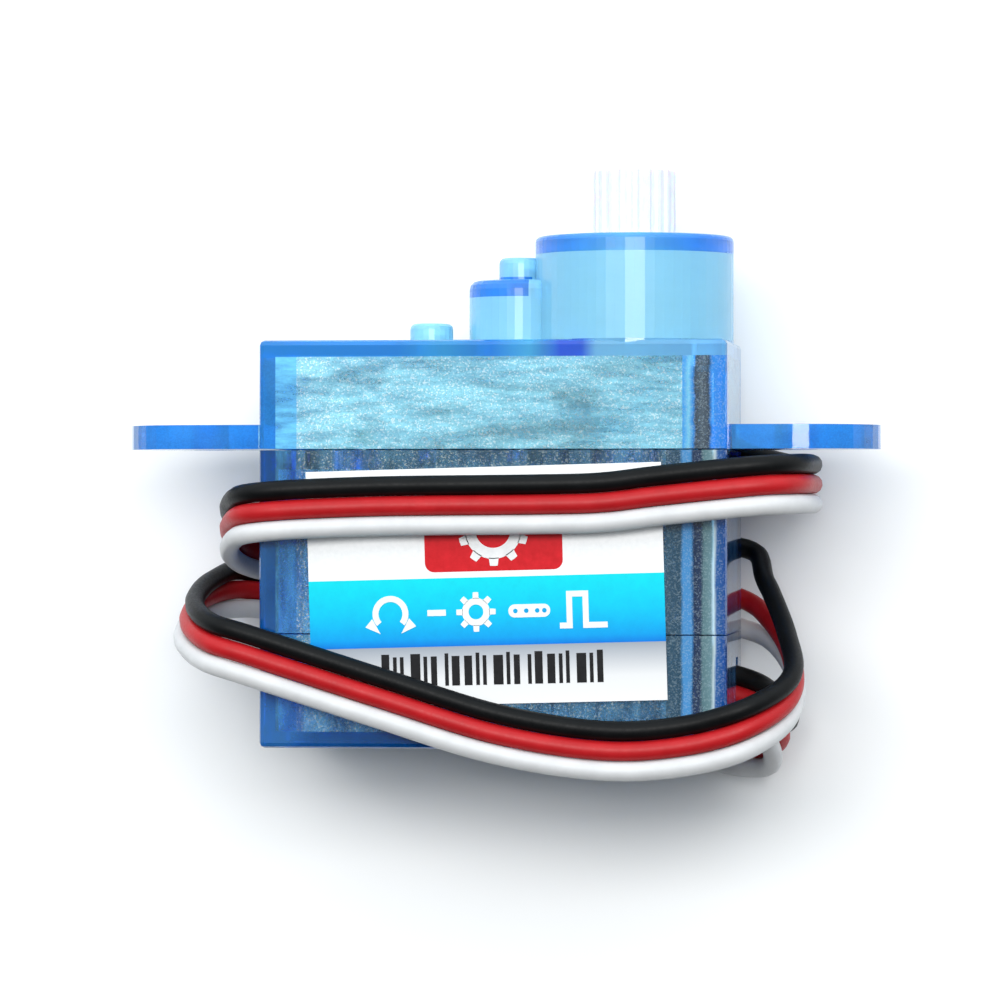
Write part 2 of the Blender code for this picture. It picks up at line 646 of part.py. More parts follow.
def make_board(board_finish, chip_finish, capacitor_finish, resistor_finish):
    outline = notched_outline(
        CASE_LEFT + WALL + BOARD_GAP,
        CASE_RIGHT - WALL - BOARD_GAP,
        CASE_HALF_DEPTH - WALL - BOARD_GAP,
        MIDDLE_POST - WALL,
        ALL_CORNERS,
    )
    prism("circuit_board", outline, BOARD_LOW, BOARD_HIGH, board_finish)
    under = BOARD_LOW - TOUCH_GAP
    parts = (
        ("controller_chip", -11.0, 0.0, 4.9, 3.9, 1.0, chip_finish),
        ("capacitor", -6.2, 0.9, 1.6, 0.9, 0.8, capacitor_finish),
        ("resistor", -6.2, -1.0, 1.6, 0.8, 0.5, resistor_finish),
    )
    for name, x, z, length, width, height, finish in parts:
        low = ((x - length / 2) * MM, under - height * MM, (z - width / 2) * MM)
        high = ((x + length / 2) * MM, under, (z + width / 2) * MM)
        box(name, low, high, finish)


# Lead


def catmull_rom(rows, samples):
    """A smooth curve through every row of numbers."""
    padded = np.vstack([2 * rows[0] - rows[1], rows, 2 * rows[-1] - rows[-2]])
    curve = []
    for index in range(1, len(padded) - 2):
        before, here, after, beyond = padded[index - 1 : index + 3]
        for t in np.arange(samples) / samples:
            curve.append(
                here
                + 0.5 * t * (after - before)
                + t * t * (before - 2.5 * here + 2 * after - 0.5 * beyond)
                + 0.5 * t**3 * (3 * here - before - 3 * after + beyond)
            )
    curve.append(rows[-1])
    return np.array(curve)


def spaced_by_bend(points, count):
    """Points along the curve, closer together where it bends."""
    steps = np.diff(points, axis=0)
    lengths = np.linalg.norm(steps, axis=1)
    ahead = steps / lengths[:, None]
    turns = np.linalg.norm(np.diff(ahead, axis=0, append=ahead[-1:]), axis=1)
    along = np.concatenate([[0.0], np.cumsum(lengths + BEND_WEIGHT * turns)])
    wanted = np.linspace(0.0, along[-1], count)
    return np.stack([np.interp(wanted, along, points[:, axis]) for axis in range(3)], axis=1)


def wire_paths():
    """The smooth centre lines of the black, red and white wires, in metres."""
    rows = np.array([(*point, *side, black, white) for point, side, black, white in LEAD_ROUTE])
    smooth = catmull_rom(rows, 24)
    red, side = smooth[:, :3], smooth[:, 3:6]
    ahead = np.gradient(red, axis=0)
    ahead /= np.linalg.norm(ahead, axis=1, keepdims=True)
    side = side - ahead * np.sum(side * ahead, axis=1, keepdims=True)
    side /= np.linalg.norm(side, axis=1, keepdims=True)
    black = red + side * smooth[:, 6:7]
    white = red - side * smooth[:, 7:8]
    return {
        "black_wire": spaced_by_bend(black, WIRE_POINTS) * MM,
        "red_wire": spaced_by_bend(red, WIRE_POINTS) * MM,
        "white_wire": spaced_by_bend(white, WIRE_POINTS) * MM,
    }


def make_wire(name, points, finish):
    curve = bpy.data.curves.new(name, "CURVE")
    curve.dimensions = "3D"
    curve.bevel_depth = WIRE_DIAMETER / 2
    curve.bevel_resolution = 2
    curve.use_fill_caps = True
    spline = curve.splines.new("POLY")
    spline.points.add(len(points) - 1)
    for place, point in zip(spline.points, points):
        place.co = (*point, 1.0)
    curve.materials.append(finish)
    wire = bpy.data.objects.new(name, curve)
    bpy.context.scene.collection.objects.link(wire)


def make_connector(housing_finish, contact_finish):
    housing = rounded_box("connector_housing", HOUSING_LOW, HOUSING_HIGH, 0.2 * MM, housing_finish)
    middle = (Vector(HOUSING_LOW) + Vector(HOUSING_HIGH)) / 2
    hole, metal = CONTACT_HOLE_HALF, CONTACT_HALF
    wire_end = LEAD_ROUTE[-1][0][0] * MM
    for number, place in enumerate((-1, 0, 1), 1):
        y = middle.y + place * CONTACT_PITCH
        tunnel = box(
            f"contact_hole_{number}",
            (HOUSING_LOW[0] - MM, y - hole, middle.z - hole),
            (HOUSING_HIGH[0] + MM, y + hole, middle.z + hole),
        )
        cut(housing, tunnel)
        window_x = HOUSING_LOW[0] + WINDOW_FROM_FACE
        window = box(
            f"contact_window_{number}",
            (window_x, y - metal, HOUSING_LOW[2] - MM),
            (window_x + WINDOW_LENGTH, y + metal, middle.z - metal),
        )
        cut(housing, window)
        box(
            f"contact_{number}",
            (HOUSING_LOW[0] + 0.6 * MM, y - metal, middle.z - metal),
            (wire_end - 0.3 * MM, y + metal, middle.z + metal),
            contact_finish,
        )


def main():
    clear_scene()
    blue_clear = material("blue_clear_plastic", (0.10, 0.38, 0.85), 0.25, transmission=0.8)
    blue_deep = material("blue_deep_plastic", (0.04, 0.20, 0.60), 0.25, transmission=0.8)
    nylon = material("white_nylon", (0.90, 0.90, 0.92), 0.4)
    steel = material("bright_steel", (0.62, 0.63, 0.65), 0.3, metallic=1.0)
    brass = material("brass", (0.78, 0.60, 0.30), 0.3, metallic=1.0)
    copper = material("copper_winding", (0.72, 0.35, 0.18), 0.4, metallic=1.0)
    dark = material("dark_plastic", (0.03, 0.03, 0.035), 0.45)
    make_top_cover(blue_clear)
    make_middle_case(blue_deep)
    make_bottom_cover(blue_deep)
    for name, corner in (("front_case_screw", (1, 1)), ("back_case_screw", (-1, -1))):
        make_screw(name, corner, steel)
    make_label(material("printed_label", (0.88, 0.89, 0.90), 0.35))
    make_gears(nylon)
    make_output_gear(nylon)
    make_pins(steel)
    make_motor(steel, brass, copper, material("magnet", (0.12, 0.12, 0.13), 0.6), dark)
    make_potentiometer(material("pot_housing", (0.20, 0.22, 0.26), 0.5), nylon, steel)
    make_board(
        material("green_board", (0.02, 0.22, 0.12), 0.4),
        dark,
        material("capacitor_tan", (0.62, 0.45, 0.25), 0.5),
        material("resistor_black", (0.05, 0.05, 0.06), 0.5),
    )
    wire_finishes = {
        "black_wire": material("black_insulation", (0.012, 0.014, 0.016), 0.35),
        "red_wire": material("red_insulation", (0.60, 0.02, 0.03), 0.35),
        "white_wire": material("white_insulation", (0.85, 0.85, 0.86), 0.35),
    }
    for name, points in wire_paths().items():
        make_wire(name, points, wire_finishes[name])
    make_connector(dark, brass)


main()
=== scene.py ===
"""Looks for the micro servo: camera and light, the wound lead, the clear case and what it holds."""

import math

import bmesh
import bpy
import numpy as np
from mathutils import Matrix, Vector


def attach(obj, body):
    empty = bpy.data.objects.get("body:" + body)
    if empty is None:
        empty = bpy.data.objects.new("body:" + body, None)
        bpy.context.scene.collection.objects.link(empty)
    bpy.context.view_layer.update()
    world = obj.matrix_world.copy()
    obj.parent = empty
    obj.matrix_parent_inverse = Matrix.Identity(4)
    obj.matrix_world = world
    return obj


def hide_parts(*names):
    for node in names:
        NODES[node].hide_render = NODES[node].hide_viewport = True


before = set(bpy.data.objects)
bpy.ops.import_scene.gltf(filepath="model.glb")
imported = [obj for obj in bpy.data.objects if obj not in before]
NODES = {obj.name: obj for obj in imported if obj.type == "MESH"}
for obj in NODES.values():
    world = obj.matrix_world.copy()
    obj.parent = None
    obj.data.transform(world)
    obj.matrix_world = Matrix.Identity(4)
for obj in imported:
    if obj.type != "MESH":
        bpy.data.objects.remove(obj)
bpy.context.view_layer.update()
CASE = "servo_case"
MM = 0.001

# Camera: it looks down on the labelled face from a little to the right
VIEW_YAW = math.radians(7.0)
VIEW_DISTANCE = 205.0 * MM
VIEW_TARGET = Vector((-5.909, 10.68, 0.0)) * MM
LENS_MM = 168.69

# Floor
TABLE_Z = -7.15 * MM
FLOOR_SIDE = 0.9
FLOOR_GAP = 0.02 * MM

# Light: the sky brightens from the picture's foot to its head
SKY_FADE = (-0.3, 0.6)
SKY_RANGE = (0.05, 1.92)
SKY_COLOUR = (0.87, 0.955, 1.0, 1.0)
KEY_PLACE, KEY_AIM = (-0.012, 0.125, 0.38), (-0.005, 0.01, 0.0)
KEY_SIDES, KEY_POWER, KEY_COLOUR = (0.40, 0.12), 1.12, (1.0, 0.985, 0.955)
STRIP_PLACE, STRIP_AIM = (0.045, 0.038, 0.42), (0.045, 0.038, 0.0)
STRIP_SIDES, STRIP_POWER, STRIP_COLOUR = (0.095, 0.05), 0.21, (1.0, 1.0, 1.0)

# Lead
WIRE_RADIUS = 0.432 * MM
# Each row: the red wire's place in millimetres, the way from it to the black wire, and how far
# off the black wire and the white wire lie
LEAD_ROUTE = (
    ((-2.2, 3.30, -0.9), (0, 0, 1), 0.86, 0.86),
    ((1.0, 2.70, -1.3), (0, 0.7, 0.7), 0.86, 0.86),
    ((4.0, 2.20, -1.6), (0, 1, 0), 0.86, 0.86),
    ((5.5, 1.50, -2.5), (0.1, 1, 0), 0.86, 0.86),
    ((6.1, 0.20, -4.4), (0.4, 0.9, 0), 0.86, 0.86),
    ((5.0, -0.45, -6.1), (0.2, 1, 0), 0.86, 0.86),
    ((2.2, 0.05, -6.62), (0, 1, 0), 0.86, 0.86),
    ((-6.0, 2.90, -6.66), (0, 1, 0), 0.86, 0.86),
    ((-14.0, 5.65, -6.62), (0, 1, 0), 0.86, 0.86),
    ((-17.9, 6.60, -5.7), (0.1, 0.9, -0.4), 0.86, 0.86),
    ((-19.45, 6.35, -2.8), (0.4, 0.9, 0), 0.86, 0.86),
    ((-19.5, 5.45, 1.2), (0.3, 0.95, 0), 0.86, 0.86),
    ((-18.2, 4.62, 4.3), (0.1, 1, 0), 0.86, 0.86),
    ((-16.0, 3.95, 5.1), (0, 1, 0), 0.86, 0.86),
    ((-10.35, 2.15, 4.98), (0, 1, 0), 0.86, 0.86),
    ((-5.4, 0.67, 4.98), (0, 1, 0), 0.86, 0.86),
    ((-0.8, 0.00, 4.98), (0, 1, 0), 0.86, 0.86),
    ((2.8, 0.26, 5.0), (0, 1, 0), 0.86, 0.86),
    ((5.4, 1.06, 4.85), (0, 1, 0.2), 0.86, 0.86),
    ((6.95, 2.25, 2.9), (0.1, 1, 0.15), 0.86, 0.86),
    ((6.85, 3.80, 0.0), (-0.2, 1, 0), 1.05, 0.95),
    ((5.80, 5.30, -2.9), (-0.25, 1, 0), 1.7, 1.05),
    ((4.15, 6.35, -5.05), (0, 1, 0), 2.2, 1.3),
    ((0.5, 7.00, -5.5), (0, 1, 0), 1.6, 1.15),
    ((-7.0, 7.70, -5.4), (0, 1, 0), 1.0, 0.95),
    ((-14.2, 8.05, -5.4), (0, 1, 0), 0.88, 0.88),
    ((-17.2, 8.40, -3.9), (0, 1, 0), 0.86, 0.86),
    ((-17.85, 9.00, -0.6), (0, 1, 0), 0.86, 0.86),
    ((-17.3, 9.75, 2.8), (0, 1, 0), 0.86, 0.86),
    ((-15.8, 10.15, 5.0), (0, 1, 0), 0.86, 0.86),
    ((-11.0, 10.40, 5.0), (0, 1, 0), 0.86, 0.86),
    ((-4.0, 10.49, 4.98), (0, 1, 0), 0.86, 0.86),
    ((-1.0, 10.57, 4.98), (0, 1, 0), 0.86, 0.86),
    ((1.5, 10.86, 5.0), (0, 1, 0), 0.86, 0.86),
    ((5.4, 11.26, 5.05), (0, 1, 0), 0.86, 0.86),
    ((7.1, 11.36, 4.1), (0, 1, 0), 0.86, 0.86),
    ((7.6, 11.38, 1.8), (0, 1, 0), 0.86, 0.86),
    ((7.55, 11.38, -3.0), (0, 1, 0), 0.86, 0.86),
    ((6.3, 11.45, -5.6), (0, 1, 0), 0.86, 0.86),
    ((3.7, 12.00, -6.55), (0, 1, 0), 1.1, 1.1),
    ((1.1, 12.95, -6.3), (0, 1, 0), 1.9, 1.9),
    ((-0.8, 13.55, -5.92), (0, 1, 0), 2.54, 2.54),
    ((-3.3, 13.60, -5.9), (0, 1, 0), 2.54, 2.54),
)

# Label
LABEL_CENTRE = Vector((-5.98, 7.02, 0.0)) * MM
LABEL_TILT = math.radians(1.6)


# Camera, floor and light


RANGE_SOCKETS = ("From Min", "From Max", "To Min", "To Max")


def make_camera():
    camera = bpy.data.objects.new("camera", bpy.data.cameras.new("camera"))
    bpy.context.scene.collection.objects.link(camera)
    away = Vector((math.sin(VIEW_YAW), 0.0, math.cos(VIEW_YAW)))
    camera.location = VIEW_TARGET + away * VIEW_DISTANCE
    camera.rotation_euler = (0.0, VIEW_YAW, 0.0)
    camera.data.lens = LENS_MM
    camera.data.clip_start = 0.01
    camera.data.clip_end = 5.0
    bpy.context.scene.camera = camera


def area_light(name, place, aim, sides, power, colour):
    data = bpy.data.lights.new(name, "AREA")
    data.shape = "RECTANGLE"
    data.size, data.size_y = sides
    data.energy = power
    data.color = colour
    light = bpy.data.objects.new(name, data)
    light.location = place
    light.rotation_euler = (Vector(aim) - Vector(place)).to_track_quat("-Z", "Y").to_euler()
    bpy.context.scene.collection.objects.link(light)


def make_stage():
    shape = bmesh.new()
    bmesh.ops.create_grid(shape, x_segments=2, y_segments=2, size=FLOOR_SIDE / 2)
    mesh = bpy.data.meshes.new("floor")
    shape.to_mesh(mesh)
    shape.free()
    floor = bpy.data.objects.new("floor", mesh)
    floor.location = (0.0, 0.0, TABLE_Z - FLOOR_GAP)
    bpy.context.scene.collection.objects.link(floor)
    mesh.materials.append(floor_finish())


def make_sky():
    world = bpy.data.worlds.new("studio")
    world.use_nodes = True
    tree = world.node_tree
    backdrop = tree.nodes["Background"]
    backdrop.inputs["Color"].default_value = SKY_COLOUR
    direction = tree.nodes.new("ShaderNodeTexCoord").outputs["Generated"]
    split = tree.nodes.new("ShaderNodeSeparateXYZ")
    fade = tree.nodes.new("ShaderNodeMapRange")
    for name, number in zip(RANGE_SOCKETS, (*SKY_FADE, *SKY_RANGE)):
        fade.inputs[name].default_value = number
    tree.links.new(direction, split.inputs[0])
    tree.links.new(split.outputs["Y"], fade.inputs["Value"])
    tree.links.new(fade.outputs["Result"], backdrop.inputs["Strength"])
    bpy.context.scene.world = world
    bpy.context.scene.view_settings.view_transform = "Standard"
    area_light("key", KEY_PLACE, KEY_AIM, KEY_SIDES, KEY_POWER, KEY_COLOUR)
    area_light("strip", STRIP_PLACE, STRIP_AIM, STRIP_SIDES, STRIP_POWER, STRIP_COLOUR)


# Material helpers


class Finish:
    """A material under construction, with short calls for its nodes."""

    def __init__(self, name):
        self.material = bpy.data.materials.new(name)
        self.material.use_nodes = True
        self.tree = self.material.node_tree
        self.shader = self.tree.nodes["Principled BSDF"]
        self.output = self.tree.nodes["Material Output"]
        self.where = self.tree.nodes.new("ShaderNodeTexCoord").outputs["Object"]

    def set(self, **values):
        for name, value in values.items():
            self.plug(value, self.shader.inputs[name.replace("_", " ")])

    def plug(self, value, socket):
        if isinstance(value, bpy.types.NodeSocket):
            self.tree.links.new(value, socket)
        elif isinstance(value, (tuple, list)) and len(value) == 3 and socket.type == "RGBA":
            socket.default_value = (*value, 1.0)
        else:
            socket.default_value = value

    def node(self, kind, settings=None, **inputs):
        made = self.tree.nodes.new(kind)
        for name, value in (settings or {}).items():
            setattr(made, name, value)
        for name, value in inputs.items():
            self.plug(value, made.inputs[name.replace("_", " ")])
        return made

    def mapped(self, scale=(1, 1, 1), rotation=(0, 0, 0), location=(0, 0, 0), source=None):
        made = self.node("ShaderNodeMapping", Vector=source or self.where)
        made.inputs["Scale"].default_value = scale
        made.inputs["Rotation"].default_value = rotation
        made.inputs["Location"].default_value = location
        return made.outputs[0]

    def noise(self, scale, detail=3.0, rough=0.6, vector=None):
        made = self.node("ShaderNodeTexNoise", Vector=vector or self.where)
        made.inputs["Scale"].default_value = scale
        made.inputs["Detail"].default_value = detail
        made.inputs["Roughness"].default_value = rough
        return made.outputs["Fac"]

    def ramp(self, factor, *stops):
        """A colour ramp with (place, colour) stops."""
        made = self.node("ShaderNodeValToRGB", Fac=factor)
        band = made.color_ramp.elements
        while len(band) < len(stops):
            band.new(0.5)
        for element, (place, colour) in zip(band, stops):
            element.position = place
            element.color = (*colour, 1.0)
        return made.outputs["Color"]

    def span(self, value, low, high, to_low, to_high):
        made = self.node("ShaderNodeMapRange", Value=value)
        for name, number in zip(RANGE_SOCKETS, (low, high, to_low, to_high)):
            made.inputs[name].default_value = number
        return made.outputs["Result"]

    def math(self, operation, a, b=0.0):
        made = self.tree.nodes.new("ShaderNodeMath")
        made.operation = operation
        self.plug(a, made.inputs[0])
        self.plug(b, made.inputs[1])
        return made.outputs[0]

    def mix(self, factor, a, b, mode="MIX"):
        made = self.tree.nodes.new("ShaderNodeMix")
        made.data_type = "RGBA"
        made.blend_type = mode
        self.plug(factor, made.inputs["Factor"])
        self.plug(a, made.inputs[6])
        self.plug(b, made.inputs[7])
        return made.outputs[2]

    def bump(self, height, strength, depth):
        made = self.node("ShaderNodeBump", Height=height)
        made.inputs["Strength"].default_value = strength
        made.inputs["Distance"].default_value = depth
        self.tree.links.new(made.outputs[0], self.shader.inputs["Normal"])

    def absorb(self, colour, density):
        made = self.node("ShaderNodeVolumeAbsorption", Color=colour, Density=density)
        self.tree.links.new(made.outputs[0], self.output.inputs["Volume"])


def floor_finish():
    finish = Finish("pale_floor")
    mottle = finish.noise(14.0, 2.0)
    finish.set(Base_Color=finish.ramp(mottle, (0.3, (0.87, 0.87, 0.875)), (0.7, (0.89, 0.89, 0.895))))
    finish.set(Roughness=0.75, Specular_IOR_Level=0.2)
    return finish.material


# Parts of the case in millimetres. First the faces over the hollows, where no wall is seen end on
OPEN_X, OPEN_Y, OPEN_Z = (-15.12, 3.62), (0.72, 16.84), (-3.62, 3.62)
BODY_Y = (-1.0, 17.6)
HEAD_Y = (17.6, 26.0)
BETWEEN_EARS_X = (-16.0, 4.5)
TOWER_ROOF_Y = (21.35, 23.0)
BOSS_ROOF_X, BOSS_ROOF_Y = (-8.0, -4.4), (19.5, 20.4)
ROOF_Y = (16.8, 17.7)
TOWER_X = (-4.3, 4.3)
# The clearer column at the right and the bluer border at the left
COLUMN_X = (2.45, 6.0)
BORDER_X = (-15.5, -14.2)
# The front right corner, whose bent light and shade are painted into its colour
CORNER_X, CORNER_Y, CORNER_Z = (1.75, 4.45), (-1.0, 16.85), (3.4, 4.6)
# The hollows: the gear and board bays, the tower and the gear boss
BAY_X, BAY_Y, BAY_Z = (-15.45, 3.95), (0.4, 17.1), (-3.95, 3.95)
WELLS = ((0.0, 4.1, 21.6), (-4.99, 2.0, 19.7))
WELL_FLOOR = 16.0
# The two case screws' axes, as (x, z), and the solid posts round them
SCREWS = (("front", (3.35, 3.35)), ("back", (-14.85, -3.35)))
POST_REACH = 0.75
# How fine the grain, the flow marks, the soft blots and the walls' pale patches are
GRAIN_SCALE, SWIRL_SCALE, BLOT_SCALE, PATCH_SCALE = 19000.0, 330.0, 310.0, 170.0
# The share of light that the walls' rims and the bent-light corner turn back
RIM_SHARE, CORNER_SHARE = 0.38, 0.46
BLOT_SHIFT = (0.0037, 0.0011, 0.0)


class CaseMasks:
    """Where a point of the case lies: on a hollow's face, or where its wall is seen end on."""

    def __init__(self, finish):
        self.finish = finish
        place = finish.node("ShaderNodeSeparateXYZ", Vector=finish.mapped((1000, 1000, 1000)))
        self.x, self.y, self.z = (place.outputs[axis] for axis in "XYZ")

    def between(self, value, span):
        low, high = span
        apart = self.finish.math("ABSOLUTE", self.finish.math("SUBTRACT", value, (low + high) / 2))
        return self.finish.math("LESS_THAN", apart, (high - low) / 2)

    def both(self, *masks):
        whole = masks[0]
        for mask in masks[1:]:
            whole = self.finish.math("MULTIPLY", whole, mask)
        return whole

    def either(self, *masks):
        whole = masks[0]
        for mask in masks[1:]:
            whole = self.finish.math("MAXIMUM", whole, mask)
        return whole

    def round_about(self, axis, radius):
        across = self.finish.math("POWER", self.finish.math("SUBTRACT", self.x, axis), 2.0)
        squared = self.finish.math("ADD", across, self.finish.math("MULTIPLY", self.z, self.z))
        return self.finish.math("LESS_THAN", squared, radius**2)

    def inner(self):
        length = self.between(self.x, BAY_X)
        height = self.between(self.y, BAY_Y)
        depth = self.between(self.z, BAY_Z)
        mask = self.both(length, height, depth)
        for axis, radius, top in WELLS:
            well = self.both(self.round_about(axis, radius), self.between(self.y, (WELL_FLOOR, top)))
            mask = self.either(mask, well)
        for _, (x, z) in SCREWS:
            near_x = self.between(self.x, (x - POST_REACH, x + POST_REACH))
            near_z = self.between(self.z, (z - POST_REACH, z + POST_REACH))
            mask = self.both(mask, self.finish.math("SUBTRACT", 1.0, self.both(near_x, near_z)))
        return mask

    def end_on(self):
        """The rims of the walls and roofs, and the solid ears."""
        length = self.between(self.x, OPEN_X)
        height = self.between(self.y, OPEN_Y)
        depth = self.between(self.z, OPEN_Z)
        count = self.finish.math("ADD", self.finish.math("ADD", length, height), depth)
        rims = self.both(self.finish.math("LESS_THAN", count, 1.5), self.between(self.y, BODY_Y))
        ears = self.finish.math("SUBTRACT", 1.0, self.between(self.x, BETWEEN_EARS_X))
        tower_roof = self.between(self.y, TOWER_ROOF_Y)
        boss_roof = self.both(self.between(self.y, BOSS_ROOF_Y), self.between(self.x, BOSS_ROOF_X))
        return self.either(rims, ears, tower_roof, boss_roof)


def tinted(colour, *factors):
    """The colour with each channel times its factor, or with one factor for all three."""
    return tuple(channel * factor for channel, factor in zip(colour, factors * (3 // len(factors))))


class ClearPlastic(Finish):
    """Moulded clear plastic under construction, with the masks and patterns that its looks share."""

    def __init__(self, name, stretch):
        super().__init__(name)
        self.masks = CaseMasks(self)
        self.inner = self.masks.inner()
        self.rim = self.masks.end_on()
        self.head = self.masks.between(self.masks.y, HEAD_Y)
        self.below_head = self.math("SUBTRACT", 1.0, self.head)
        self.border = self.masks.between(self.masks.x, BORDER_X)
        flakes = self.node("ShaderNodeTexVoronoi", Vector=self.where)
        flakes.inputs["Scale"].default_value = GRAIN_SCALE
        self.cell = self.node("ShaderNodeSeparateColor", Color=flakes.outputs["Color"]).outputs["Red"]
        self.swirl = self.noise(SWIRL_SCALE, 5.0, 0.7, self.mapped(stretch))

    def blend(self, factor, low, high):
        """A plain number that goes from low to high with the factor."""
        return self.node("ShaderNodeMapRange", Value=factor, To_Min=low, To_Max=high).outputs["Result"]

    def wall_colour(self, deep, azure):
        """Grained walls seen end on, with the roof's edge in its own colours and the tower's rim in painted
        shading, lighter in its middle.
        """
        fine, coarse = self.math("MULTIPLY", self.cell, 0.3), self.math("MULTIPLY", self.swirl, 0.7)
        grain = self.math("ADD", fine, coarse)
        solid = self.ramp(grain, (0.3, tinted(deep, 0.7)), (0.65, deep))
        patches = self.span(self.noise(PATCH_SCALE, 2.0, 0.5), 0.5, 0.66, 0.0, 0.5)
        # The tower's rim: painted shading, lighter in its middle than at its sides
        crown = self.ramp(self.span(self.masks.x, *TOWER_X, 0.0, 1.0), *TOWER_RIM_SHADING)
        roof = self.ramp(self.span(self.masks.x, *BETWEEN_EARS_X, 0.0, 1.0), *ROOF_EDGE)
        near_roof = self.masks.between(self.masks.y, ROOF_Y)
        return self.mix(self.head, self.mix(near_roof, self.mix(patches, solid, azure), roof), crown)

    def body_colour(self, tint, deep):
        """Flecked faces, whose brightest flecks are painted glints, with a bluer border at their left, and a
        clean, smooth tower.
        """
        azure = tinted(tint, 0.35, 0.62, 1.0)
        edge = tinted(tint, 0.5, 0.8, 1.0)
        drum = tinted(tint, 0.88, 0.90, 1.0)
        dark, middle, bright = tinted(tint, 0.72), tinted(tint, 0.9), (0.8, 0.97, 1.0)
        # The brightest flecks are painted glints
        fleck = self.ramp(self.cell, (0.0, dark), (0.3, middle), (0.78, tint), (0.93, bright))
        clean = self.ramp(self.swirl, (0.3, tinted(drum, 0.96)), (0.7, drum))
        face = self.mix(self.head, self.mix(self.border, fleck, edge), clean)
        outer = self.mix(self.rim, face, self.wall_colour(deep, azure))
        return self.mix(self.inner, outer, self.mix(self.border, fleck, azure))

    def painted_corner_light(self, corner, corner_from):
        """Where the front right corner's painted light and shade lie, and their colour: bright and dark
        columns of bent light, a painted highlight, the screw behind painted as seen through it, and painted
        glints.
        """
        wavy = self.math("ADD", self.masks.x, self.span(self.swirl, 0.3, 0.7, -0.08, 0.08))
        columns = self.ramp(self.span(wavy, *CORNER_X, 0.0, 1.0), *corner)
        spot = self.masks.both(
            self.masks.between(self.masks.x, (corner_from, CORNER_X[1])),
            self.masks.between(self.masks.y, CORNER_Y),
            self.masks.between(self.masks.z, CORNER_Z),
        )
        return spot, self.mix(self.span(self.cell, 0.6, 0.9, 0.0, 0.22), columns, (0.75, 0.92, 1.0))

    def flow_marks(self, streak):
        """How strongly the plastic turns light back: streaks and soft blots, more towards the left end, but
        even on the tower.
        """
        shift = self.mapped((1.0, 1.7, 1.0), (0, 0, 0), BLOT_SHIFT)
        blots = self.span(self.noise(BLOT_SCALE, 3.0, 0.55, shift), 0.36, 0.47, 0.62, 1.0)
        # More towards the left end, less towards the middle
        fading = self.span(self.masks.x, -14.0, -5.0, 1.08, 0.88)
        streaks = self.span(self.swirl, 0.36, 0.62, 1.0 - streak, 1.0 + streak * 0.6)
        marks = self.math("MULTIPLY", streaks, self.math("MULTIPLY", blots, fading))
        return self.blend(self.head, marks, 1.05)

    def light_turned_back(self, milk, skin, glitter, streak):
        """The share of light that doesn't pass through, which is small over the right-hand column."""
        flow = self.flow_marks(streak)
        # Bright grains turn back more light here: painted glints
        spark = self.math("MULTIPLY", self.span(self.cell, 0.78, 0.95, 0.0, glitter), self.below_head)
        milky = self.math("ADD", self.math("MULTIPLY", flow, skin), spark)
        column = self.masks.both(self.masks.between(self.masks.x, COLUMN_X), self.below_head)
        clearing = self.math("SUBTRACT", 1.0, self.math("MULTIPLY", column, 0.75))
        outside = self.blend(self.rim, self.math("MULTIPLY", milky, clearing), RIM_SHARE)
        inside = self.math("MULTIPLY", self.span(self.cell, 0.0, 1.0, milk * 0.5, milk * 1.3), flow)
        return self.blend(self.inner, outside, inside)

    def roughness(self, haze):
        """Smooth outside, softer on the tower and frosted on the inner faces."""
        frost = self.math("MULTIPLY", self.inner, self.span(self.cell, 0.0, 1.0, haze * 0.85, haze * 1.15))
        gloss = self.span(self.swirl, 0.3, 0.7, 0.04, 0.10)
        return self.math("ADD", self.math("ADD", gloss, self.math("MULTIPLY", self.head, 0.15)), frost)


def clear_plastic(
    name, tint, deep, absorbed, density, haze, milk, skin, glitter, stretch, streak, corner, corner_from
):
    """Moulded clear plastic: it darkens with depth, its inner faces are spark-eroded, and painted glints
    fleck it.

    haze is the inner faces' roughness, milk the share of light that they turn back and skin the
    share that the outside does. deep is the colour of the walls where they are seen end on, and
    glitter how bright the painted glints on the grains are. stretch lays out the flow marks, and
    streak is how strongly they show. corner holds the front right corner's painted light and shade,
    in columns which start at X = corner_from.
    """
    finish = ClearPlastic(name, stretch)
    spot, lit = finish.painted_corner_light(corner, corner_from)
    bent = finish.math("MULTIPLY", spot, CORNER_SHARE)
    share = finish.math("MAXIMUM", finish.light_turned_back(milk, skin, glitter, streak), bent)
    finish.set(
        Base_Color=finish.mix(spot, finish.body_colour(tint, deep), lit),
        Roughness=finish.roughness(haze),
        IOR=1.5,
        Transmission_Weight=finish.math("SUBTRACT", 1.0, share),
    )
    pits = finish.math("MULTIPLY", finish.cell, finish.inner)
    finish.bump(finish.math("ADD", pits, finish.math("MULTIPLY", finish.swirl, 3.0)), 0.12, 0.01 * MM)
    finish.absorb(absorbed, density)
    return finish.material


def insulation(name, dark, light, sheen, mirror):
    finish = Finish(name)
    cloud = finish.noise(900.0, 3.0)
    grain = finish.noise(9000.0, 2.0)
    finish.set(
        Base_Color=finish.ramp(cloud, (0.3, dark), (0.7, light)),
        Roughness=finish.span(grain, 0.3, 0.7, sheen - 0.07, sheen + 0.09),
        Specular_IOR_Level=mirror,
    )
    finish.bump(finish.math("ADD", cloud, grain), 0.2, 0.012 * MM)
    return finish.material


def plain_plastic(name, dark, light, roughness, scatter=0.0):
    finish = Finish(name)
    cloud = finish.noise(1200.0, 3.0)
    grain = finish.noise(14000.0, 2.0)
    finish.set(
        Base_Color=finish.ramp(cloud, (0.3, dark), (0.7, light)),
        Roughness=finish.span(grain, 0.3, 0.7, roughness * 0.8, roughness * 1.25),
        Subsurface_Weight=scatter,
        Subsurface_Scale=0.4 * MM,
    )
    finish.bump(grain, 0.25, 0.008 * MM)
    return finish.material


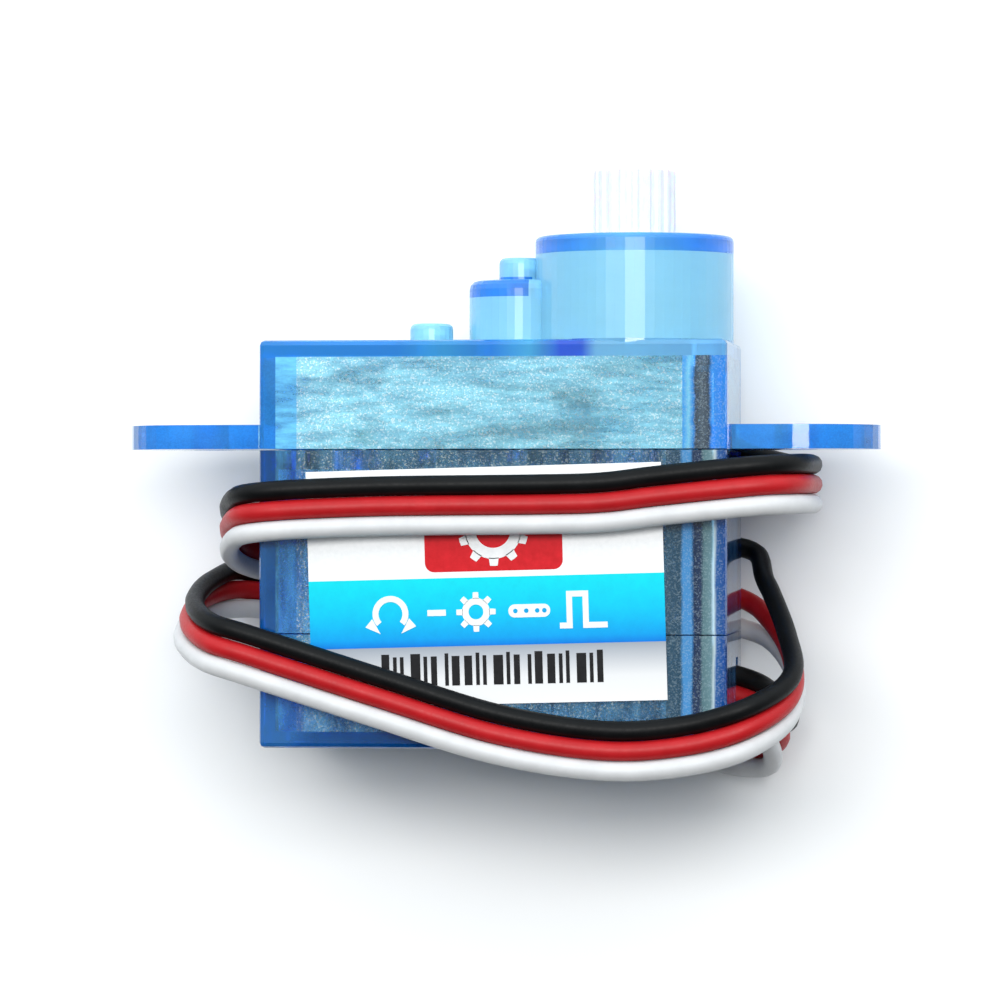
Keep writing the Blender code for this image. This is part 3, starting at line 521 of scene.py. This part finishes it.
def metal(name, dark, light, roughness, stretch=(1, 1, 1)):
    finish = Finish(name)
    brushed = finish.noise(3000.0, 4.0, 0.65, finish.mapped(stretch))
    finish.set(
        Base_Color=finish.ramp(brushed, (0.3, dark), (0.7, light)),
        Roughness=finish.span(brushed, 0.3, 0.7, roughness * 0.7, roughness * 1.4),
        Metallic=1.0,
    )
    finish.bump(brushed, 0.2, 0.006 * MM)
    return finish.material


# Shapes


def lift_out(name, shape, finish, body=CASE, replaced=None, place=(0, 0, 0), turn=0.0):
    """Makes a finished object of a bmesh, in millimetres, that rides on a body."""
    bmesh.ops.scale(shape, vec=(MM, MM, MM), verts=shape.verts)
    bmesh.ops.recalc_face_normals(shape, faces=shape.faces)
    mesh = bpy.data.meshes.new(name)
    shape.to_mesh(mesh)
    shape.free()
    mesh.shade_smooth()
    mesh.set_sharp_from_angle(angle=math.radians(32))
    mesh.materials.append(finish)
    thing = bpy.data.objects.new(name, mesh)
    thing.location = Vector(place) * MM
    thing.rotation_euler = (0.0, 0.0, turn)
    bpy.context.scene.collection.objects.link(thing)
    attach(thing, body)
    if replaced:
        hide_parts(replaced)


def block(shape, low, high, round_by=0.0):
    """Adds a box between two corners, with rounded edges."""
    made = bmesh.ops.create_cube(shape, size=1.0)["verts"]
    bmesh.ops.scale(shape, vec=[b - a for a, b in zip(low, high)], verts=made)
    bmesh.ops.translate(shape, vec=[(a + b) / 2 for a, b in zip(low, high)], verts=made)
    if round_by:
        edges = list({edge for vert in made for edge in vert.link_edges})
        bmesh.ops.bevel(shape, geom=edges, offset=round_by, segments=2, profile=0.5, affect="EDGES")


def lathe(shape, profile, axis=(0.0, 0.0), steps=48, capped=True):
    """Turns a profile of (radius, y) about a line along Y. An open profile gets end caps."""
    rings = []
    for radius, y in profile:
        turns = [2 * math.pi * step / steps for step in range(steps)]
        spots = [(axis[0] + radius * math.cos(a), y, axis[1] + radius * math.sin(a)) for a in turns]
        rings.append([shape.verts.new(spot) for spot in spots])
    pairs = list(zip(rings, rings[1:]))
    if not capped:
        pairs.append((rings[-1], rings[0]))
    for ring, following in pairs:
        for step in range(steps):
            after = (step + 1) % steps
            shape.faces.new((ring[step], ring[after], following[after], following[step]))
    if capped:
        shape.faces.new(rings[0])
        shape.faces.new(rings[-1])


def helix(shape, core, crest, low, high, pitch, axis=(0.0, 0.0), steps=20, rows=8):
    """A rod with a helical ridge, such as a screw thread or a winding."""
    levels = int((high - low) / pitch * rows)
    rings = []
    for level in range(levels + 1):
        y = low + (high - low) * level / levels
        fade = min(1.0, 2.0 * (y - low) / pitch, 2.0 * (high - y) / pitch)
        ring = []
        for step in range(steps):
            phase = (y / pitch + step / steps) % 1.0
            radius = core + (crest - core) * fade * (1.0 - abs(2.0 * phase - 1.0))
            angle = 2 * math.pi * step / steps
            spot = (axis[0] + radius * math.cos(angle), y, axis[1] + radius * math.sin(angle))
            ring.append(shape.verts.new(spot))
        rings.append(ring)
    for ring, following in zip(rings, rings[1:]):
        for step in range(steps):
            after = (step + 1) % steps
            shape.faces.new((ring[step], ring[after], following[after], following[step]))
    shape.faces.new(rings[0])
    shape.faces.new(rings[-1])


def rounded_profile(radius, low, high, edge):
    """A (radius, y) profile of a solid disc or rod whose two rims are rounded."""
    quarter = [math.radians(angle) for angle in (0, 30, 60, 90)]
    below = [(radius - edge + edge * math.sin(a), low + edge - edge * math.cos(a)) for a in quarter]
    above = [(radius - edge + edge * math.cos(a), high - edge + edge * math.sin(a)) for a in quarter]
    return below + above


# Lead


def catmull_rom(rows, samples):
    """A smooth curve through every row of numbers."""
    padded = np.vstack([2 * rows[0] - rows[1], rows, 2 * rows[-1] - rows[-2]])
    curve = []
    for index in range(1, len(padded) - 2):
        before, here, after, beyond = padded[index - 1 : index + 3]
        for t in np.arange(samples) / samples:
            curve.append(
                here
                + 0.5 * t * (after - before)
                + t * t * (before - 2.5 * here + 2 * after - 0.5 * beyond)
                + 0.5 * t**3 * (3 * here - before - 3 * after + beyond)
            )
    curve.append(rows[-1])
    return np.array(curve)


def evenly_spaced(points, count):
    along = np.concatenate([[0.0], np.cumsum(np.linalg.norm(np.diff(points, axis=0), axis=1))])
    wanted = np.linspace(0.0, along[-1], count)
    return np.stack([np.interp(wanted, along, points[:, axis]) for axis in range(3)], axis=1)


def wire_lines():
    """The centre lines of the black, red and white wires, in metres."""
    rows = np.array([(*point, *side, black, white) for point, side, black, white in LEAD_ROUTE])
    smooth = catmull_rom(rows, 24)
    red, side = smooth[:, :3], smooth[:, 3:6]
    ahead = np.gradient(red, axis=0)
    ahead /= np.linalg.norm(ahead, axis=1, keepdims=True)
    side = side - ahead * np.sum(side * ahead, axis=1, keepdims=True)
    side /= np.linalg.norm(side, axis=1, keepdims=True)
    lines = {
        "black": red + side * smooth[:, 6:7],
        "red": red,
        "white": red - side * smooth[:, 7:8],
    }
    return {colour: evenly_spaced(line, 420) * MM for colour, line in lines.items()}


def make_wire(colour, line, finish):
    curve = bpy.data.curves.new(f"{colour}_strand", "CURVE")
    curve.dimensions = "3D"
    curve.bevel_depth = WIRE_RADIUS
    curve.bevel_resolution = 4
    curve.use_fill_caps = True
    spline = curve.splines.new("POLY")
    spline.points.add(len(line) - 1)
    for place, point in zip(spline.points, line):
        place.co = (*point, 1.0)
    curve.materials.append(finish)
    strand = bpy.data.objects.new(f"{colour}_strand", curve)
    bpy.context.scene.collection.objects.link(strand)
    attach(strand, CASE)
    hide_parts(f"{colour}_wire")


def make_lead():
    finishes = {
        "black": insulation("black_pvc", (0.003, 0.0032, 0.0036), (0.005, 0.0055, 0.006), 0.42, 0.12),
        "red": insulation("red_pvc", (0.37, 0.007, 0.010), (0.44, 0.010, 0.014), 0.42, 0.25),
        "white": insulation("white_pvc", (0.54, 0.54, 0.55), (0.60, 0.60, 0.61), 0.42, 0.25),
    }
    for colour, line in wire_lines().items():
        make_wire(colour, line, finishes[colour])


# Case and inner pieces


def dress(finish, *names):
    for name in names:
        slots = NODES[name].data.materials
        if slots:
            slots[0] = finish
        else:
            slots.append(finish)


# Colours as (share of the way across, colour). First the front right corner's painted light and shade: the
# light that it bends, in bright and dark columns with a painted highlight and the screw behind painted as
# seen through it
LOWER_CORNER_LIGHT = (
    (0.0, (0.04, 0.12, 0.20)),
    (0.22, (0.03, 0.10, 0.17)),
    (0.27, (0.10, 0.42, 0.88)),
    (0.39, (0.10, 0.42, 0.88)),
    (0.44, (0.01, 0.04, 0.12)),
    (0.55, (0.02, 0.05, 0.13)),
    # The screw behind, painted as seen through the corner, then a painted highlight
    (0.60, (0.14, 0.28, 0.32)),
    (0.72, (0.22, 0.40, 0.44)),
    (0.76, (0.80, 0.97, 1.0)),
    (0.80, (0.03, 0.16, 0.48)),
    (0.92, (0.01, 0.10, 0.42)),
    (1.0, (0.01, 0.06, 0.26)),
)
TOP_CORNER_LIGHT = (
    (0.0, (0.10, 0.50, 0.98)),
    (0.28, (0.08, 0.46, 0.98)),
    (0.36, (0.28, 0.78, 1.0)),
    (0.43, (0.05, 0.36, 0.95)),
    # The dark core: the screw behind, painted as seen through the corner
    (0.47, (0.05, 0.08, 0.12)),
    (0.58, (0.12, 0.17, 0.22)),
    (0.68, (0.05, 0.08, 0.12)),
    (0.73, (0.04, 0.34, 0.95)),
    (1.0, (0.02, 0.30, 0.95)),
)
# The tower's rim across its front, painted lighter in its middle and darker towards its curved sides as
# shading, and the roof's edge from the case's left end to its right end
TOWER_RIM_SHADING = ((0.1, (0.03, 0.34, 1.0)), (0.5, (0.15, 0.62, 1.0)), (0.9, (0.02, 0.32, 1.0)))
ROOF_EDGE = (
    (0.0, (0.016, 0.38, 1.0)),
    (0.30, (0.02, 0.36, 1.0)),
    (0.40, (0.05, 0.50, 1.0)),
    (0.50, (0.02, 0.30, 0.95)),
    (0.58, (0.10, 0.60, 1.0)),
    (0.645, (0.03, 0.11, 0.80)),
    (0.69, (0.03, 0.13, 0.85)),
    (0.72, (0.26, 0.64, 0.96)),
    (1.0, (0.20, 0.58, 0.96)),
)


def dress_case():
    top = clear_plastic(
        "clear_blue_plastic", tint=(0.38, 0.85, 1.0), deep=(0.016, 0.38, 1.0), absorbed=(0.0, 0.60, 0.99),
        density=200.0, haze=0.24, milk=0.62, skin=0.50, glitter=0.06, stretch=(0.7, 3.2, 1.0), streak=0.62,
        corner=TOP_CORNER_LIGHT, corner_from=2.45,
    )
    lower = clear_plastic(
        "deep_blue_plastic", tint=(0.24, 0.66, 1.0), deep=(0.0, 0.12, 0.44), absorbed=(0.0, 0.52, 0.96),
        density=380.0, haze=0.22, milk=0.3, skin=0.17, glitter=0.10, stretch=(3.2, 0.5, 1.0), streak=0.8,
        corner=LOWER_CORNER_LIGHT, corner_from=1.75,
    )
    dress(top, "top_cover")
    dress(lower, "middle_case", "bottom_cover")


PAN_HEAD = ((0.12, 0.62), (0.66, 0.62), (0.68, 0.5), (0.66, 0.34), (0.58, 0.22), (0.5, 0.34))
LOBE_OUT, LOBE_HALF = 0.29, 0.13


def make_screws(finish):
    """Two threaded screws whose pan heads have four lobes with a cross between them."""
    for word, axis in SCREWS:
        shape = bmesh.new()
        helix(shape, core=0.30, crest=0.41, low=0.6, high=15.9, pitch=0.42, axis=axis)
        lathe(shape, PAN_HEAD, axis, 32)
        for number in range(4):
            angle = math.pi / 4 + number * math.pi / 2
            x = axis[0] + LOBE_OUT * math.cos(angle)
            z = axis[1] + LOBE_OUT * math.sin(angle)
            low = (x - LOBE_HALF, 0.19, z - LOBE_HALF)
            block(shape, low, (x + LOBE_HALF, 0.4, z + LOBE_HALF), 0.04)
        lift_out(f"{word}_screw", shape, finish, replaced=f"{word}_case_screw")


def make_gear_pins(finish):
    for word, axis, high in (("left", -8.92, 17.8), ("middle", -4.99, 20.65)):
        shape = bmesh.new()
        lathe(shape, rounded_profile(0.4, 12.42, high, 0.09), (axis, 0.0), 28)
        lift_out(f"{word}_pin", shape, finish, replaced=f"{word}_gear_pin")


MOTOR_X = -11.95
VENT_RING = 1.85
WINDING_RING = 0.98


def make_motor(steel, brass, copper):
    """The drawn can with its bearing boss, the wound armature with its commutator, bent tags."""
    can = bmesh.new()
    wall = [(2.65, 5.3), (2.9, 5.3), (2.9, 11.55), (2.84, 11.74), (2.72, 11.86), (2.55, 11.9), (1.1, 11.9)]
    boss = [(1.02, 11.98), (1.0, 12.5), (0.92, 12.6), (0.5, 12.6), (0.5, 11.65), (2.6, 11.65)]
    lathe(can, wall + boss, (MOTOR_X, 0.0), 64, capped=False)
    for number in range(3):
        angle = math.radians(120 * number + 30)
        centre = (MOTOR_X + VENT_RING * math.cos(angle), VENT_RING * math.sin(angle))
        lathe(can, [(0.34, 11.88), (0.34, 11.93), (0.22, 11.97), (0.1, 11.97)], centre, 16)
    lift_out("drawn_can", can, steel, replaced="motor_can")
    winding = bmesh.new()
    for number in range(3):
        angle = math.radians(120 * number)
        centre = (MOTOR_X + WINDING_RING * math.cos(angle), WINDING_RING * math.sin(angle))
        helix(winding, 0.66, 0.74, 6.9, 10.6, 0.16, centre, 24, 6)
    helix(winding, 0.62, 0.66, 6.6, 6.9, 0.15, (MOTOR_X, 0.0), 24, 6)
    lathe(winding, rounded_profile(1.5, 8.2, 9.3, 0.12), (MOTOR_X, 0.0), 36)
    lift_out("wound_armature", winding, copper, "motor_rotor", "motor_armature")
    for number, z in enumerate((-1.6, 1.6), 1):
        tag = bmesh.new()
        block(tag, (MOTOR_X - 0.4, 4.62, z - 0.1), (MOTOR_X + 0.4, 5.24, z + 0.1), 0.04)
        block(tag, (MOTOR_X - 0.52, 4.62, z - 0.22), (MOTOR_X + 0.52, 4.75, z + 0.22), 0.05)
        lift_out(f"motor_tag_{number}", tag, brass, replaced=f"motor_terminal_{number}")


def make_potentiometer(finish, steel):
    shape = bmesh.new()
    edge = [(1.1, 9.6), (2.8, 9.6), (2.95, 9.75), (2.95, 10.5), (2.86, 10.58), (2.86, 10.7), (2.95, 10.78)]
    lid = [(2.95, 11.72), (2.8, 11.9), (1.5, 11.9), (1.42, 11.78), (1.1, 11.78)]
    lathe(shape, edge + lid, steps=56, capped=False)
    lift_out("pot_shell", shape, finish, replaced="pot_body")
    for number, x in enumerate((-1.8, 0.0, 1.8), 1):
        leg = bmesh.new()
        block(leg, (x - 0.25, 6.2, 1.9), (x + 0.25, 9.54, 2.1), 0.05)
        block(leg, (x - 0.14, 4.6, 1.9), (x + 0.14, 6.3, 2.1), 0.05)
        lift_out(f"pot_pin_{number}", leg, steel, replaced=f"pot_leg_{number}")


# Just inside the circuit board's underside, where solder and the lower tracks sit
BOARD_FOOT = 3.96


def solder_dome(shape, x, z):
    steps = ((0.42, 0.0), (0.38, 0.1), (0.2, 0.3), (0.08, 0.36))
    lathe(shape, [(radius, BOARD_FOOT - depth) for radius, depth in steps], (x, z), 16)


def make_solder(finish):
    solder = bmesh.new()
    for x, z in ((-1.8, 2.0), (0.0, 2.0), (1.8, 2.0), (MOTOR_X, -1.6), (MOTOR_X, 1.6)):
        solder_dome(solder, x, z)
    for offset in (-0.95, 0.0, 0.95):
        solder_dome(solder, -2.2, -0.9 + offset)
    lift_out("solder_joints", solder, finish)


def make_tracks(finish):
    tracks = bmesh.new()
    for number in range(6):
        z = -2.4 + 0.9 * number
        block(tracks, (-8.2 + 0.3 * number, 4.54, z - 0.09), (-0.6 - 0.4 * number, 4.575, z + 0.09))
        block(tracks, (-8.0, 3.925, z - 0.09), (-3.4 - 0.25 * number, BOARD_FOOT, z + 0.09))
    lift_out("board_tracks", tracks, finish)


def make_chip_pins(finish):
    pins = bmesh.new()
    for number in range(8):
        x = -13.1 + 0.6 * number
        for side in (-1, 1):
            inner, outer = sorted((side * 1.9, side * 2.28))
            block(pins, (x - 0.12, 3.38, inner), (x + 0.12, 3.5, outer), 0.02)
            inner, outer = sorted((side * 2.2, side * 2.34))
            block(pins, (x - 0.12, 3.42, inner), (x + 0.12, 3.94, outer), 0.02)
    lift_out("chip_pins", pins, finish)


def make_end_caps(finish):
    """The metal ends of the capacitor and the resistor."""
    caps = bmesh.new()
    for x in (-6.85, -5.55):
        block(caps, (x - 0.17, 3.06, 0.43), (x + 0.17, 3.92, 1.37), 0.05)
        block(caps, (x - 0.17, 3.36, -1.42), (x + 0.17, 3.92, -0.58), 0.05)
    lift_out("part_end_caps", caps, finish)


def make_chip(finish):
    """The chip's package, with the dimple that marks its first pin."""
    chip = bmesh.new()
    block(chip, (-13.45, 2.9, -1.95), (-8.55, 3.88, 1.95), 0.12)
    lathe(chip, [(0.28, 2.86), (0.28, 2.93), (0.2, 2.93)], (-12.9, 1.4), 20)
    lift_out("chip_package", chip, finish, replaced="controller_chip")


CONTACT_PITCH = 2.54
FIRST_CONTACT_Y = 11.06
CONTACT_Z = -5.9
# A contact's two crimp barrels, as (radius, x)
BARRELS = (
    ((0.3, -9.4), (0.34, -9.0), (0.34, -7.6), (0.3, -7.3), (0.44, -7.2)),
    ((0.44, -7.1), (0.5, -6.9), (0.5, -4.4), (0.46, -4.2), (0.46, -3.62)),
)


def lathe_along_x(shape, profile, y, z):
    """Adds a turned crimp barrel that lies along X."""
    before = set(shape.verts)
    lathe(shape, profile, steps=20)
    fresh = [vert for vert in shape.verts if vert not in before]
    bmesh.ops.rotate(shape, cent=(0, 0, 0), matrix=Matrix.Rotation(-math.pi / 2, 3, "Z"), verts=fresh)
    bmesh.ops.translate(shape, vec=(0.0, y, z), verts=fresh)


def make_connector():
    """Ribs, a polarity key and latch tongues on the housing, and box contacts in its tunnels."""
    black = plain_plastic("housing_plastic", (0.012, 0.013, 0.015), (0.024, 0.025, 0.028), 0.45)
    brass = metal("plated_contact", (0.62, 0.46, 0.24), (0.80, 0.64, 0.38), 0.28)
    dress(black, "connector_housing")
    shape = bmesh.new()
    for y in (12.33, 14.87):
        block(shape, (-15.9, y - 0.1, -4.67), (-2.6, y + 0.1, -4.57), 0.04)
    block(shape, (-15.9, 17.36, -6.5), (-5.2, 17.66, -5.3), 0.12)
    for number in range(3):
        y = FIRST_CONTACT_Y + CONTACT_PITCH * number
        block(shape, (-11.35, y - 0.42, -7.13), (-9.5, y + 0.42, -6.98), 0.05)
        block(shape, (-15.8, y - 0.55, -4.67), (-13.9, y + 0.55, -4.6), 0.03)
    lift_out("housing_ribs", shape, black)
    for number in range(3):
        y = FIRST_CONTACT_Y + CONTACT_PITCH * number
        contact = bmesh.new()
        for low, high in (
            ((-15.5, y - 0.55, -6.45), (-9.3, y - 0.43, -5.35)),
            ((-15.5, y + 0.43, -6.45), (-9.3, y + 0.55, -5.35)),
            ((-15.5, y - 0.55, -6.45), (-9.3, y + 0.55, -6.33)),
            ((-15.5, y - 0.4, -5.5), (-9.3, y + 0.4, -5.38)),
        ):
            block(contact, low, high, 0.03)
        for profile in BARRELS:
            lathe_along_x(contact, profile, y, CONTACT_Z)
        lift_out(f"box_contact_{number + 1}", contact, brass, replaced=f"contact_{number + 1}")


def dress_inside():
    nylon = plain_plastic("moulded_nylon", (0.69, 0.705, 0.755), (0.75, 0.765, 0.81), 0.45, 0.4)
    steel = metal("drawn_steel", (0.42, 0.43, 0.45), (0.66, 0.67, 0.69), 0.3, (1, 0.05, 1))
    brass = metal("turned_brass", (0.62, 0.44, 0.20), (0.80, 0.62, 0.33), 0.3)
    copper = metal("enamelled_copper", (0.45, 0.17, 0.07), (0.75, 0.36, 0.18), 0.35, (1, 0.08, 1))
    black = plain_plastic("satin_black", (0.016, 0.017, 0.019), (0.030, 0.031, 0.034), 0.42)
    pot = plain_plastic("pot_plastic", (0.10, 0.12, 0.15), (0.16, 0.18, 0.22), 0.5)
    dress(nylon, "first_gear", "second_gear", "third_gear", "fourth_gear", "output_gear", "pot_shaft")
    dress(steel, "motor_shaft")
    dress(brass, "motor_pinion")
    dress(black, "motor_end_cap")
    dress(plain_plastic("ferrite", (0.05, 0.05, 0.055), (0.09, 0.09, 0.10), 0.7), "motor_magnet")
    dress(plain_plastic("solder_mask", (0.010, 0.13, 0.07), (0.018, 0.19, 0.10), 0.3), "circuit_board")
    dress(plain_plastic("capacitor_ceramic", (0.50, 0.34, 0.19), (0.62, 0.46, 0.28), 0.5), "capacitor")
    dress(plain_plastic("resistor_ceramic", (0.03, 0.03, 0.034), (0.06, 0.06, 0.066), 0.4), "resistor")
    make_screws(metal("screw_steel", (0.05, 0.055, 0.06), (0.5, 0.52, 0.53), 0.4))
    make_gear_pins(steel)
    make_motor(steel, brass, copper)
    make_potentiometer(pot, steel)
    make_solder(steel)
    make_tracks(copper)
    make_chip_pins(steel)
    make_end_caps(steel)
    make_chip(black)


# Label


def shifted(finish):
    made = finish.node("ShaderNodeVectorMath", {"operation": "SUBTRACT"})
    finish.plug(finish.where, made.inputs[0])
    made.inputs[1].default_value = LABEL_CENTRE
    return made.outputs[0]


def label_place(finish):
    """The label's own X and Y, in millimetres from its centre."""
    turned = finish.mapped((1000, 1000, 1000), (0, 0, -LABEL_TILT), (0, 0, 0), shifted(finish))
    return finish.node("ShaderNodeSeparateXYZ", Vector=turned)


# Where the printed bands change, in millimetres from the label's centre
BAND_TOP = 0.36
BAND_LOW = -2.57
STRIP_LOW = -5.1


def label_finish():
    finish = Finish("printed_film")
    place = label_place(finish)
    y = place.outputs["Y"]
    fibre = finish.noise(5000.0, 3.0)
    paper = finish.ramp(fibre, (0.3, (0.76, 0.765, 0.775)), (0.7, (0.82, 0.822, 0.83)))
    band = finish.ramp(
        finish.span(y, BAND_LOW, BAND_TOP, 0.0, 1.0),
        (0.0, (0.0, 0.16, 0.60)),
        (0.12, (0.0, 0.30, 0.68)),
        (0.5, (0.0, 0.48, 0.72)),
        (1.0, (0.0, 0.64, 0.72)),
    )
    strip = finish.ramp(
        finish.span(y, STRIP_LOW, BAND_LOW, 0.0, 1.0),
        (0.0, (0.72, 0.72, 0.725)),
        (0.45, (0.66, 0.66, 0.67)),
        (1.0, (0.28, 0.31, 0.36)),
    )
    above = finish.math("GREATER_THAN", y, BAND_TOP)
    below = finish.math("LESS_THAN", y, BAND_LOW)
    blot = finish.ramp(finish.noise(1500.0, 5.0, 0.75), (0.35, (0.82, 0.90, 0.92)), (0.7, (1.0, 1.0, 1.0)))
    colour = finish.mix(above, finish.mix(below, finish.mix(1.0, band, blot, "MULTIPLY"), strip), paper)
    finish.set(Base_Color=colour, Roughness=finish.span(fibre, 0.3, 0.7, 0.36, 0.48), Specular_IOR_Level=0.1)
    finish.bump(fibre, 0.15, 0.01 * MM)
    return finish.material


def flat_patch(shape, outline, low, high):
    """A thin printed patch with the given outline of (x, y) points."""
    base = shape.faces.new([shape.verts.new((x, y, low)) for x, y in outline])
    grown = bmesh.ops.extrude_face_region(shape, geom=[base])
    raised = [item for item in grown["geom"] if isinstance(item, bmesh.types.BMVert)]
    bmesh.ops.translate(shape, vec=(0.0, 0.0, high - low), verts=raised)


def arc(centre, radius, start, stop, steps):
    turns = [math.radians(start + (stop - start) * step / steps) for step in range(steps + 1)]
    return [(centre[0] + radius * math.cos(a), centre[1] + radius * math.sin(a)) for a in turns]


def ring_patch(shape, centre, inner, outer, start, stop, low, high, steps=28):
    """An arc-shaped stroke, made of short pieces."""
    near = arc(centre, inner, start, stop, steps)
    far = arc(centre, outer, start, stop, steps)
    for index in range(steps):
        flat_patch(shape, (near[index], near[index + 1], far[index + 1], far[index]), low, high)


def rounded_outline(low, high, radius):
    (x0, y0), (x1, y1) = low, high
    outline = arc((x1 - radius, y1 - radius), radius, 0, 90, 6)
    outline += arc((x0 + radius, y1 - radius), radius, 90, 180, 6)
    outline += arc((x0 + radius, y0 + radius), radius, 180, 270, 6)
    return outline + arc((x1 - radius, y0 + radius), radius, 270, 360, 6)


def gear_patch(shape, centre, hole, root, tip, teeth, low, high):
    ring_patch(shape, centre, hole, root, 0, 360, low, high, 36)
    for tooth in range(teeth):
        middle = 360 * tooth / teeth + 90
        half = 90 / teeth
        foot = arc(centre, root * 0.97, middle - half * 1.15, middle + half * 1.15, 2)
        crown = arc(centre, tip, middle + half * 0.7, middle - half * 0.7, 2)
        flat_patch(shape, foot + crown, low, high)


def bar_patch(shape, x0, y0, x1, y1, low, high):
    flat_patch(shape, ((x0, y0), (x1, y0), (x1, y1), (x0, y1)), low, high)


# The film's top, the printed layers' heights over it, and the marks' own places, in millimetres
FILM_TOP = 4.45
FIRST, SECOND, THIRD = 0.008, 0.016, 0.024
MARK_ROW = -1.12
BAR_ENDS = (-4.6, 5.0)
BAR_FOOT, BAR_TOP, LONG_BAR_TOP = -4.25, -2.98, -2.86
# Each bar's width and the gap after it
BAR_ROW = (
    (0.34, 0.16),
    (0.16, 0.14),
    (0.16, 0.3),
    (0.42, 0.14),
    (0.16, 0.16),
    (0.26, 0.34),
    (0.16, 0.14),
    (0.34, 0.2),
)


def print_on_label(name, shape, finish):
    place = (LABEL_CENTRE.x / MM, LABEL_CENTRE.y / MM, FILM_TOP)
    lift_out(name, shape, finish, place=place, turn=LABEL_TILT)


def draw_turning_arrow(shape, row):
    ring_patch(shape, (-4.15, row), 0.52, 0.78, -40, 220, 0.0, SECOND)
    flat_patch(shape, ((-4.95, row - 0.2), (-5.25, row - 0.55), (-4.6, row - 0.85)), 0.0, SECOND)
    flat_patch(shape, ((-3.35, row - 0.2), (-3.7, row - 0.85), (-3.05, row - 0.55)), 0.0, SECOND)


def draw_pulse(shape, row):
    steps = ((3.15, 3.45, -0.8), (3.45, 3.7, 0.0), (3.7, 4.15, 0.55), (4.15, 4.4, 0.0), (4.4, 5.2, -0.8))
    for x0, x1, height in steps:
        if height:
            bar_patch(shape, x0, row + height, x1, row + height + 0.25, 0.0, SECOND)
        else:
            bar_patch(shape, x0, row - 0.8, x1, row + 0.8, 0.0, SECOND)


def draw_bars(shape):
    x, end = BAR_ENDS
    for number, (width, gap) in enumerate(BAR_ROW * 3):
        top = BAR_TOP if number % 3 else LONG_BAR_TOP
        bar_patch(shape, x, BAR_FOOT, x + width, top, 0.0, FIRST)
        x += width + gap
        if x > end:
            break


def ink(name, dark, light):
    finish = Finish(name)
    blot = finish.noise(2600.0, 4.0)
    finish.set(
        Base_Color=finish.ramp(blot, (0.3, dark), (0.7, light)),
        Roughness=finish.span(blot, 0.3, 0.7, 0.34, 0.48),
        Specular_IOR_Level=0.12,
    )
    finish.bump(blot, 0.15, 0.006 * MM)
    return finish.material


def make_label_art():
    """Plain pictograms: a gear, a turning arrow, a horn, a pulse and a row of bars."""
    row = MARK_ROW
    panel = bmesh.new()
    flat_patch(panel, rounded_outline((-2.6, 0.62), (3.35, 4.1), 0.4), 0.0, FIRST)
    print_on_label("red_panel", panel, ink("red_ink", (0.48, 0.004, 0.009), (0.60, 0.010, 0.018)))
    white = bmesh.new()
    gear_patch(white, (0.38, 2.35), 0.75, 1.22, 1.52, 10, SECOND, THIRD)
    draw_turning_arrow(white, row)
    bar_patch(white, -2.55, row - 0.13, -1.75, row + 0.13, 0.0, SECOND)
    gear_patch(white, (-0.45, row), 0.32, 0.6, 0.85, 8, 0.0, SECOND)
    flat_patch(white, rounded_outline((0.95, row - 0.28), (2.75, row + 0.28), 0.27), 0.0, SECOND)
    draw_pulse(white, row)
    print_on_label("white_marks", white, ink("white_ink", (0.68, 0.69, 0.70), (0.78, 0.785, 0.79)))
    holes = bmesh.new()
    for x in (1.25, 1.72, 2.19, 2.5):
        flat_patch(holes, arc((x, row), 0.1, 0, 330, 11), SECOND, THIRD)
    print_on_label("horn_holes", holes, ink("blue_ink", (0.0, 0.26, 0.56), (0.0, 0.34, 0.64)))
    black = bmesh.new()
    draw_bars(black)
    print_on_label("black_marks", black, ink("black_ink", (0.004, 0.004, 0.005), (0.010, 0.010, 0.012)))


make_camera()
make_connector()
make_lead()
make_stage()
make_sky()
dress_case()
dress_inside()
dress(label_finish(), "label")
make_label_art()
